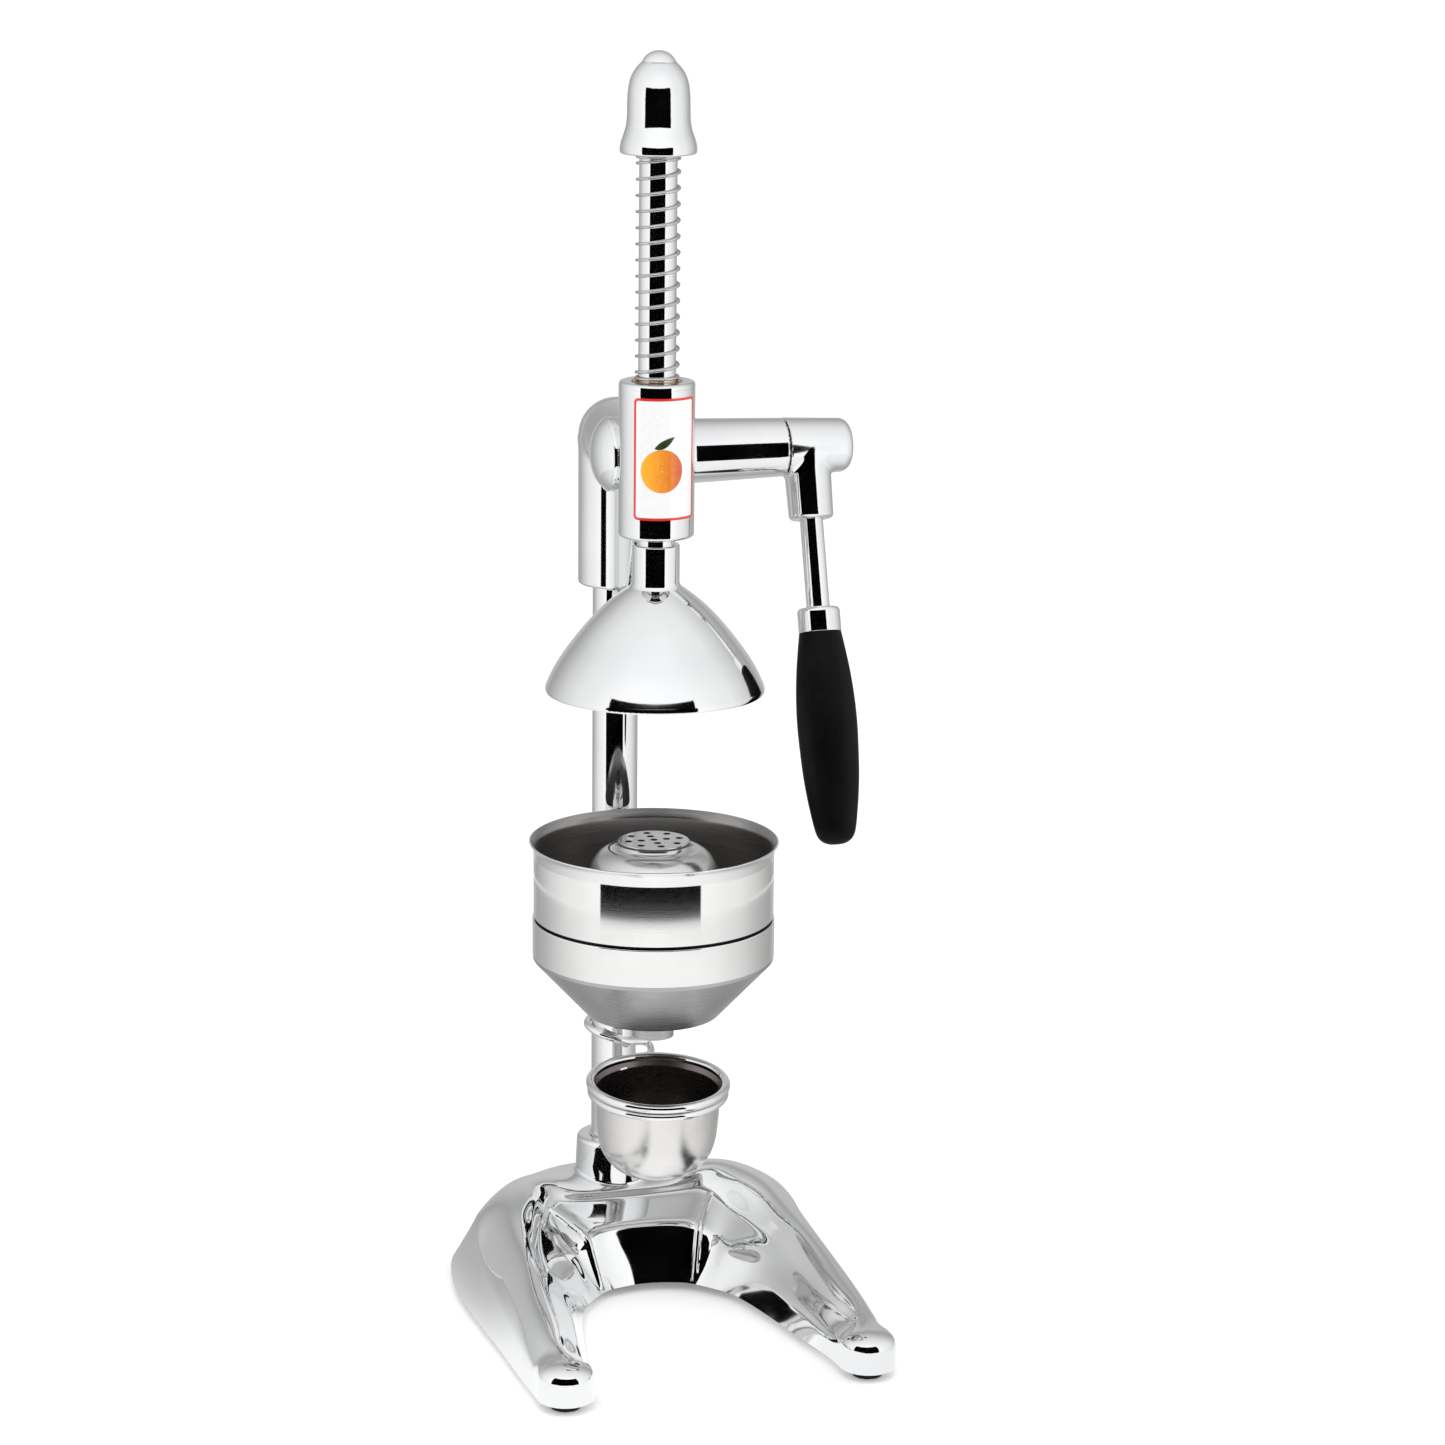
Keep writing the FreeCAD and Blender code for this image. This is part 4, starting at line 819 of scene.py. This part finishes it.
def make_head():
    low, high = box_mm("head_casting")
    barrel_low, barrel_high = box_mm("ram_bush_lower")[0][2], box_mm("ram_bush_upper")[1][2]
    barrel_r, bush_r, pocket_r = 20.0, half_width("ram_bush_lower"), 19.7
    housing_left, housing_right, housing_r = box_mm("end_cap")[1][0] - 2.2, 16.0, 19.4
    arm_end, arm_start_r, arm_end_r, arm_bore_r = high[0], 17.9, 15.6, 10.5
    socket_low, socket_r, limb_r, limb_front = low[2], 20.5, 20.1, 10.0
    web_low, web_high, web_reach, web_slope, web_half = 388.0, 466.0, 38.0, 24.0, 6.0

    def distance(p):
        x, y, z = p[..., 0], p[..., 1], p[..., 2]
        from_ram = length(x, y)
        from_column = length(x, y - COLUMN_Y)
        from_shaft = length(y - SHAFT[1], z - SHAFT[2])
        barrel = capped(from_ram, z - (barrel_low + barrel_high) / 2, barrel_r,
                        (barrel_high - barrel_low) / 2, 1.8)
        housing = capped(from_shaft, x - (housing_left + housing_right) / 2, housing_r,
                         (housing_right - housing_left) / 2, 1.0)
        taper = tapered(x, arm_end, arm_start_r, arm_end_r)
        arm = capped(from_shaft - taper + 16, x - arm_end / 2, 16.0, arm_end / 2, 0.7)
        limb = capped(length(x, z - SHAFT[2]), y - (limb_front + COLUMN_Y) / 2, limb_r,
                      (COLUMN_Y - limb_front) / 2, 0.5)
        elbow = length(x, y - COLUMN_Y, z - SHAFT[2]) - socket_r
        socket = capped(from_column, z - (socket_low + SHAFT[2]) / 2, socket_r,
                        (SHAFT[2] - socket_low) / 2, 1.6)
        rise = np.clip((z - web_low) / (web_high - web_low), 0, 1)
        web = np.maximum(np.maximum(np.abs(x) - web_half, web_reach - web_slope * rise ** 0.8 - y),
                         np.maximum(y - COLUMN_Y, np.maximum(web_low - z, z - SHAFT[2])))
        body = blend_union(np.minimum(limb, elbow), socket, 2.0)
        for part, softness in ((housing, 3.0), (arm, 2.0), (web, 6.0), (barrel, 4.0)):
            body = blend_union(body, part, softness)
        bore = capped(from_ram, z - 467, bush_r, 60, 0.1)
        arm_bore = capped(from_shaft, x - arm_end, arm_bore_r, 30, 0.1)
        column_bore = capped(from_column, z - socket_low, COLUMN_R, 40, 0.1)
        pocket = capped(from_shaft, x - (housing_left - 6), pocket_r, 6, 0.1)
        cut = np.minimum(np.minimum(bore, arm_bore), np.minimum(column_bore, pocket))
        return np.maximum(body, -cut)

    points, faces, normals = implicit_mesh(distance, low - 2.3, high + 2.3, 1.15)
    new_piece("head_casting_skin", points, faces, "body", ["head_casting"], "chrome_casting",
              normals=normals)


LEVER_TILT = math.radians(180 - 17.45)


def lever_matrix():
    """Carries +Z onto the lever's line, which leaves the shaft's axis at the hub."""
    hub = centre_mm("hub_screw")
    return Matrix.Translation((hub[0], SHAFT[1], SHAFT[2])) @ Matrix.Rotation(LEVER_TILT, 4, "X")


def make_hub():
    low, high = box_mm("lever_hub")
    start, end = box_mm("shaft_bush_right")[1][0] + 0.8, high[0]
    start_r, end_r, far = 15.7, 14.2, 100.0
    reach, boss_start_r, boss_end_r = 39.4, 12.8, 11.9
    rod_bore_r, rod_depth = 6.35, 6.0
    to_lever = lever_matrix().inverted()

    def distance(p):
        x, y, z = p[..., 0], p[..., 1], p[..., 2]
        taper = tapered(x - start, end - start, start_r, end_r)
        around = length(y - SHAFT[1], z - SHAFT[2]) - taper
        barrel = np.maximum(capped(around + far, x - end + far, far, far, 5.5), start - x)
        local = placed(p, to_lever)
        radial, along = length(local[..., 0], local[..., 1]), local[..., 2]
        wide = tapered(along, reach, boss_start_r, boss_end_r)
        boss = capped(radial - wide + 12, along - reach / 2, 12.0, reach / 2, 2.6)
        body = np.maximum(blend_union(barrel, boss, 2.4), start - x)
        return np.maximum(body, -capped(radial, along - reach, rod_bore_r, rod_depth, 0.1))

    points, faces, normals = implicit_mesh(distance, low - 1.5, high + 1.5, 0.75)
    new_piece("lever_hub_skin", points, faces, "lever", ["lever_hub"], "chrome", normals=normals)


# ---- spring, grip, bowl, cup, label
def make_spring():
    low, high = box_mm("return_spring")
    wire, radius, coils, closed, seat = 0.8, 10.95, 16, 1.25, 1.7
    bottom, top = low[2] + wire, high[2] - wire
    turns = np.linspace(0, coils, coils * 60 + 1)
    rise = np.clip((turns - closed) / (coils - 2 * closed), 0, 1)
    height = bottom + seat * np.clip(turns / closed, 0, 1)
    height += (top - bottom - 2 * seat) * rise
    height += seat * np.clip((turns - coils + closed) / closed, 0, 1)
    angle = turns * 2 * math.pi
    path = np.stack([radius * np.cos(angle), radius * np.sin(angle), height], -1)
    points, faces = tube(path, wire, 14)
    spring = new_piece("return_spring_wire", points, faces, "body", ["return_spring"], "steel",
                       ["spring_steel"], sharp_deg=0)
    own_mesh(spring)


GRIP_PROFILE = [(11.2, 99.6), (13.7, 114.0), (15.6, 131.0), (16.3, 150.0), (15.9, 163.0), (14.8, 180.0),
                (13.0, 194.0), (11.3, 203.5), (8.8, 209.6), (4.0, 212.4), (0.0, 212.7)]


def make_grip():
    """Black grip with softly flattened sides that run its length."""
    profile = smooth_run(GRIP_PROFILE, 90)
    profile[-1][0] = 0
    segments, flats, flatness = 160, 10, 0.018
    low, high = GRIP_PROFILE[0][1], GRIP_PROFILE[-1][1]
    points = []
    for radius, height in profile:
        swell = np.clip((height - low - 0.4) / 12, 0, 1) * np.clip((high - 0.7 - height) / 14, 0, 1)
        for k in range(segments):
            angle = 2 * math.pi * k / segments
            r = radius * (1 - flatness * swell * abs(math.sin(angle * flats / 2)) ** 1.4)
            points.append((r * math.cos(angle), r * math.sin(angle), height))
    faces = grid_faces(len(profile), segments, close=True)
    faces += [(len(points), (k + 1) % segments, k) for k in range(segments)]
    points.append((0, 0, low))
    piece = new_piece("grip_handle", placed(points, lever_matrix()), faces, "lever", ["grip"], "black_grip")
    merge(piece, 0.005)


def make_ferrule():
    bore, neck, outer, low, high = 6.3, 7.9, 11.4, 86.3, 99.6
    profile = [(bore, low + 2.3), (7.4, low + 2.1), (neck, low + 0.2)]
    profile += outline((neck, low + 0.1), (outer, low, 2.4), (outer, high, 0.4), (bore, high))
    lathe("ferrule_ring", [("chrome", profile)], "lever", ["ferrule"], "chrome", lever_matrix())


BOWL_TILT = math.atan2(-BOWL_UP[1], BOWL_UP[2])
BOWL_BEAD = 2.4


def bowl_matrix():
    """Carries a turned shape's z = 0 onto the plane of the tilted bowl's rim."""
    drop = (half_width("drip_bowl") - BOWL_BEAD) * math.sin(BOWL_TILT) + BOWL_BEAD
    place = (centre_mm("drip_bowl")[0], 0, box_mm("drip_bowl")[1][2] - drop)
    return Matrix.Translation(place) @ Matrix.Rotation(BOWL_TILT, 4, "X")


def make_bowl():
    outside = [tuple(p) for p in smooth_run([(13.0, -51.0), (19.5, -49.4), (26.2, -44.2), (30.9, -36.0),
                                             (33.0, -24.0), (33.7, -12.0), (34.2, -2.6)], 60)]
    bead = [(36.65 + BOWL_BEAD * math.cos(t), BOWL_BEAD * math.sin(t))
            for t in np.linspace(math.radians(215), math.radians(-142), 34)]
    inside = [(33.1, -4.0)] + [tuple(p) for p in smooth_run(
        [(32.6, -12.0), (31.8, -23.8), (29.9, -35.4), (25.4, -43.4), (19.0, -48.3), (13.0, -49.8)], 50)]
    runs = [
        ("bowl_satin", [(0, -51.0), (6.0, -51.0), (12.5, -51.0)] + outside[1:]),
        ("chrome", [outside[-1]] + bead[::-1]),
        # painted shade inside the bowl
        ("bowl_hollow_painted_shade", [bead[0]] + inside + [(6.0, -49.8), (0, -49.8)]),
    ]
    lathe("drip_bowl_shell", runs, "bowl", ["drip_bowl"], "satin_steel", bowl_matrix(), 160)


def make_cup():
    floor, rim, seam = box_mm("strainer_cup")[0][2], 261.5, 221.0
    outer, foot, inner, hole = 64.2, 62.9, 61.7, 24.0
    floor_top = floor + 1.2
    flare = [tuple(p) for p in smooth_run([(outer, rim - 8), (outer + 0.14, rim - 5.6),
                                           (outer + 0.8, rim - 2.6), (66.4, rim - 0.75)], 20)]
    lip = [(66.62, rim - 0.35), (66.6, rim - 0.02), (66.3, rim + 0.12), (65.9, rim + 0.02)]
    down = [tuple(p) for p in smooth_run([(65.5, rim - 0.5), (64.1, rim - 2.3), (63.2, rim - 4.2),
                                          (63.0, rim - 6.2)], 12)]
    runs = [
        # painted shade: the lower band of the cup's outside is near-black to darken its joint with the funnel
        ("seam_painted_shade", outline((foot - 1, floor), (foot, floor + 0.3, 0.3), (foot, seam, 0.3),
                              (outer, seam))[1:]),
        ("satin_steel", [(outer, seam), (outer, 226)]),
        ("satin_steel", [(outer, 226)] + flare),
        ("chrome", [flare[-1]] + lip),
        # painted shade inside the cup
        ("cup_funnel_hollow_painted_shade", [lip[-1]] + down + outline((63.0, rim - 8), (63.0, seam + 1.4, 0.8),
                                                  (inner, seam, 0.8), (inner, floor_top, 2.0),
                                                  (hole, floor_top))),
        ("cup_funnel_hollow_painted_shade", [(hole, floor_top), (hole, floor)]),
        ("satin_steel", [(hole, floor), (foot - 1, floor)]),
    ]
    lathe("strainer_cup_shell", runs, "strainer", ["strainer_cup"], "satin_steel", None, 192)


def make_funnel():
    low, high = box_mm("funnel")
    top, bottom = high[2], low[2]
    outer, spout, wall, seat = half_width("funnel"), 11.3, 1.5, 212.0
    outside = outline((spout, bottom), (spout, 163.4, 2.0), (35.4, 165.8, 2.6), (outer - 0.2, 197.3, 1.1),
                      (outer, 199.5, 0.5), (outer, top - 0.2, 0.4), (63.4, top))
    inside = outline((63.2, top - 0.3), (63.2, seat), (60.8, seat, 0.6), (60.8, 198.6, 2.0),
                     (33.8, 167.8, 2.0), (spout - wall, 165.8, 1.0), (spout - wall, bottom))
    band = next(i for i, p in enumerate(outside) if p[1] > 199)
    runs = [
        # funnel cone: satin steel with painted shade
        ("funnel_cone_satin_painted_shade", outside[:band + 1]),
        ("satin_steel", outside[band:]),
        # painted shade inside the funnel
        ("cup_funnel_hollow_painted_shade", [outside[-1]] + inside),
        ("satin_steel", [inside[-1], (spout, bottom)]),
    ]
    lathe("funnel_shell", runs, "body", ["funnel"], "satin_steel", None, 192)


HOLDER_LINK = [(-1.7, 36.9, 123.3), (3.6, 50, 123.6), (17.0, 63.5, 121.6), (17.5, 69, 123.8)]
COIL_HEIGHTS = [127.5, 130.0, 132.0, 133.6, 134.6, 135.4, 136.0, 136.5]


def make_holder():
    """The bowl's wire holder: a ring, a link and a clip coiled round the column, as one smooth wire."""
    step, tilt = 30, BOWL_TILT
    centre = bowl_matrix().translation
    ring_r, drop, coil_r, wire = 36.4, 4.75, 14.8, 2.0
    route = []
    for i in range(12):
        angle = math.radians(80 if i == 0 else 95 - step * i)
        x, y = ring_r * math.cos(angle), ring_r * math.sin(angle)
        route.append((centre[0] + x, y * math.cos(tilt) + drop * math.sin(tilt),
                      centre[2] + y * math.sin(tilt) - drop * math.cos(tilt)))
    route += HOLDER_LINK
    for i, z in enumerate(COIL_HEIGHTS):
        angle = math.radians(285 - step * i)
        route.append((coil_r * math.cos(angle), COLUMN_Y + coil_r * math.sin(angle), z))
    points, faces = tube(smooth_run(route, 520), wire, 20)
    new_piece("bowl_holder_wire", points, faces, "holder", ["bowl_holder"], "chrome", sharp_deg=60)


def on_barrel(across, z, lift):
    """A point of the barrel's front, from the distance across it and the height."""
    angle = across / LABEL_R - math.pi / 2
    return ((LABEL_R + lift) * math.cos(angle), (LABEL_R + lift) * math.sin(angle), z)


def label_patch(name, loops, lift, material):
    """A thin printed patch: rows of (across, height) points, wrapped on the barrel."""
    rows, columns = len(loops), len(loops[0])
    points = [on_barrel(a, z, lift) for row in loops for a, z in row]
    return new_piece(name, points, grid_faces(rows, columns), "body", ["label"], "label_foil",
                     [material], sharp_deg=0)


def rounded_rectangle(half, half_height, corner, steps=10):
    points = []
    for quarter in range(4):
        cx = (half - corner) * (1 if quarter in (0, 3) else -1)
        cz = (half_height - corner) * (1 if quarter < 2 else -1)
        for t in np.linspace(0, math.pi / 2, steps):
            angle = quarter * math.pi / 2 + t
            points.append((cx + corner * math.cos(angle), cz + corner * math.sin(angle)))
    return points


def make_label():
    """Foil with a white panel in a thin red border, a fruit and its leaf, and no lettering."""
    low, high = box_mm("label")
    half = LABEL_R * math.radians(52.5)
    sheet = [[(a, z) for a in np.linspace(-half, half, 61)] for z in np.linspace(low[2], high[2], 5)]
    label_patch("label_sheet", sheet, 0.12, "label_foil")
    top, bottom = high[2] - 3.3, low[2] + 0.5
    middle, half_height = (top + bottom) / 2, (top - bottom) / 2
    loops = []
    for inset, corner in ((0.4, 2.4), (1.75, 1.2)):
        ring = rounded_rectangle(half - inset, half_height - inset, corner)
        ring = resample([(a, middle + z) for a, z in ring], 240)
        loops.append(ring + ring[:1])
    label_patch("label_border", loops, 0.2, "label_red")
    inner = np.array(loops[1])
    centre = np.array([0.0, middle])
    panel = [[tuple(centre + (point - centre) * share) for point in inner]
             for share in np.linspace(0.02, 1, 16)]
    label_patch("label_panel", panel, 0.17, "label_white")
    across, height, radius = -2.5, 464.0, 11.3
    rings = [[(across + radius * share * math.cos(t), height + radius * share * math.sin(t))
              for t in np.linspace(0, 2 * math.pi, 73)] for share in np.linspace(0.02, 1, 12)]
    label_patch("label_fruit", rings, 0.21, "fruit_orange")
    leaf = []
    for t in np.linspace(0, 1, 21):
        width = 2.2 * math.sin(math.pi * t) ** 0.8 * (1 - 0.3 * t) + 0.05
        along = (-6.5 + 10.5 * t, 475.8 + 6.0 * t ** 1.3)
        leaf.append([(along[0] - 0.5 * width * s, along[1] + 0.86 * width * s)
                     for s in np.linspace(-1, 1, 7)])
    label_patch("label_leaf", leaf, 0.24, "leaf_green")


def resample(ring, count):
    """Evenly spaced points on a closed ring."""
    loop = np.array(ring + ring[:1])
    along = travelled(loop)
    return [tuple(p) for p in sampled(loop, along, np.linspace(0, along[-1], count, endpoint=False))]


# ---- carried-over CAD nodes
CAD_LOOKS = {"reamer": "reamer_steel"}


def paint_cad_nodes():
    slots = {part["node"]: part["material_slot"] for part in frame["record"]["subparts"]}
    for node, piece in frame["nodes"].items():
        look = CAD_LOOKS.get(node, slots[node])
        for slot in piece.material_slots:
            slot.material = MATERIALS[look]


# ---- studio
def plain_emission(name, color, strength):
    material = bpy.data.materials.new(name)
    material.use_nodes = True
    nodes = material.node_tree.nodes
    nodes.clear()
    shine = nodes.new("ShaderNodeEmission")
    shine.inputs["Color"].default_value = (*color, 1)
    shine.inputs["Strength"].default_value = strength
    output = nodes.new("ShaderNodeOutputMaterial")
    material.node_tree.links.new(shine.outputs[0], output.inputs[0])
    return material


# The studio is in metres. Its brightness goes by the cosine of the angle from the object's front.
CAMERA_AZIMUTH, CAMERA_PITCH, CAMERA_ROLL = math.radians(-16.81), math.radians(13.63), math.radians(0.61)
CAMERA_PLACE, CAMERA_LENS = (-0.56954, -2.00916, 0.83256), 101.15
TENT_SHADES = [(-1.0, 0.62), (-0.93, 0.55), (-0.8, 0.4), (-0.6, 0.55), (-0.35, 0.75), (0.0, 0.95),
               (0.3, 1.02), (0.65, 1.15), (1.0, 1.2)]
FLOOR_SHADES = [(-1.0, 0.6), (-0.8, 0.42), (-0.5, 0.52), (0.0, 0.8), (0.5, 1.02), (1.0, 1.12)]
TENT_R, WALL_TOP, ROOF_RISE = 0.865, 1.4, 0.7
OPENING_DEG, OPENING_TOP = (-49, 45), 0.86


def tent_patch(name, azimuths_deg, heights, radius, material):
    """Part of an upright drum round the object that only shows in reflections. Sizes in metres."""
    points = []
    for r, z in heights:
        for azimuth in azimuths_deg:
            angle = CAMERA_AZIMUTH + math.radians(azimuth)
            points.append((math.sin(angle) * radius * r, -math.cos(angle) * radius * r, z))
    mesh = bpy.data.meshes.new(name)
    mesh.from_pydata(points, [], grid_faces(len(heights), len(azimuths_deg)))
    mesh.materials.append(material)
    piece = add_object(name, mesh)
    piece.visible_camera = piece.visible_diffuse = piece.visible_shadow = False


def tent_material(name, shades, middle_height):
    """Glow that depends on how far round the object, from the camera's side, a point stands."""
    peak = shades[-1][1]
    material = plain_emission(name, (1, 1, 1), peak)
    tree = material.node_tree

    def vector_math(operation, *values):
        return add_node(tree, "ShaderNodeVectorMath", dict(enumerate(values)), operation=operation).outputs

    place = add_node(tree, "ShaderNodeTexCoord", {}).outputs["Object"]
    unit = vector_math("NORMALIZE", vector_math("SUBTRACT", place, (0, 0, middle_height))[0])[0]
    toward_front = (math.sin(CAMERA_AZIMUTH), -math.cos(CAMERA_AZIMUTH), 0)
    front = vector_math("DOT_PRODUCT", unit, toward_front)["Value"]
    share = add_node(tree, "ShaderNodeMapRange", {0: front, 1: -1})
    curve = add_node(tree, "ShaderNodeValToRGB", {0: share.outputs[0]})
    for i, (cosine, shade) in enumerate(shades):
        at = (cosine + 1) / 2
        stop = curve.color_ramp.elements[i] if i < 2 else curve.color_ramp.elements.new(at)
        stop.position = at
        stop.color = (shade / peak, shade / peak, shade / peak, 1)
    shine = next(node for node in tree.nodes if node.type == "EMISSION")
    tree.links.new(curve.outputs[0], shine.inputs["Color"])
    return material


def make_tent():
    round_about = np.linspace(-180, 180, 121)
    wall = [(1, z) for z in np.linspace(0.002, WALL_TOP, 8)]
    roof = [(math.cos(t), WALL_TOP + ROOF_RISE * math.sin(t)) for t in np.linspace(0.1, 1.56, 16)]
    tent_patch("studio_tent", round_about, wall + roof, TENT_R,
               tent_material("studio_tent", TENT_SHADES, 0.3))
    ground = [(r, 0.0007) for r in np.linspace(0.0, 1.0, 12)]
    tent_patch("studio_ground", round_about, ground, TENT_R,
               tent_material("studio_ground", FLOOR_SHADES, 0.0))
    opening = [(1, z) for z in np.linspace(0.003, OPENING_TOP, 3)]
    black = plain_emission("studio_opening", (0, 0, 0), 0.0)
    tent_patch("studio_opening", np.linspace(*OPENING_DEG, 48), opening, TENT_R * 0.98, black)


def area_light(name, place, size, energy, aim=(0, 0, 0.3)):
    light = bpy.data.lights.new(name, "AREA")
    light.shape = "RECTANGLE"
    light.size, light.size_y = size
    light.energy = energy
    lamp = add_object(name, light)
    lamp.location = place
    lamp.rotation_euler = (Vector(aim) - Vector(place)).to_track_quat("-Z", "Y").to_euler()


def make_studio():
    world = bpy.data.worlds.new("studio_world")
    bpy.context.scene.world = world
    world.use_nodes = True
    background = world.node_tree.nodes["Background"]
    background.inputs["Color"].default_value = (1, 1, 1, 1)
    background.inputs["Strength"].default_value = 1.12
    floor = bpy.data.meshes.new("studio_floor")
    radius, sides = 40.0, 96
    rim = [(radius * math.cos(2 * math.pi * k / sides), radius * math.sin(2 * math.pi * k / sides), 0)
           for k in range(sides)]
    floor.from_pydata(rim, [], [tuple(range(sides))])
    surface = Surface("studio_floor", (0.93, 0.93, 0.93), 0.0, 0.6)
    surface.color_between(surface.noise(3, 2), (0.94, 0.94, 0.94), (0.925, 0.925, 0.925))
    surface.constant(Specular_IOR_Level=0.1)
    floor.materials.append(surface.material)
    add_object("studio_floor", floor)
    make_tent()
    area_light("key_top", (-0.6, -0.9, 2.2), (1.8, 1.4), 14)
    area_light("fill_right", (2.0, -0.6, 1.3), (1.0, 1.8), 8)
    bpy.context.scene.view_settings.view_transform = "Standard"


def make_camera():
    pitch, roll = CAMERA_PITCH, CAMERA_ROLL
    back = Vector((math.sin(CAMERA_AZIMUTH) * math.cos(pitch),
                   -math.cos(CAMERA_AZIMUTH) * math.cos(pitch), math.sin(pitch)))
    right = Vector((math.cos(CAMERA_AZIMUTH), math.sin(CAMERA_AZIMUTH), 0))
    up = back.cross(right)
    right, up = right * math.cos(roll) + up * math.sin(roll), up * math.cos(roll) - right * math.sin(roll)
    camera = bpy.data.cameras.new("camera")
    camera.sensor_width = 36
    camera.lens = CAMERA_LENS
    camera.clip_end = 200
    eye = add_object("camera", camera)
    matrix = Matrix((right, up, back)).transposed().to_4x4()
    matrix.translation = Vector(CAMERA_PLACE)
    eye.matrix_world = matrix
    bpy.context.scene.camera = eye


make_camera()
paint_cad_nodes()
base_tree = make_base()
make_boss(base_tree)
make_ribs(base_tree)
make_feet()
make_head()
make_hub()
make_spring()
make_grip()
make_ferrule()
make_bowl()
make_cup()
make_funnel()
make_holder()
make_label()
make_studio()
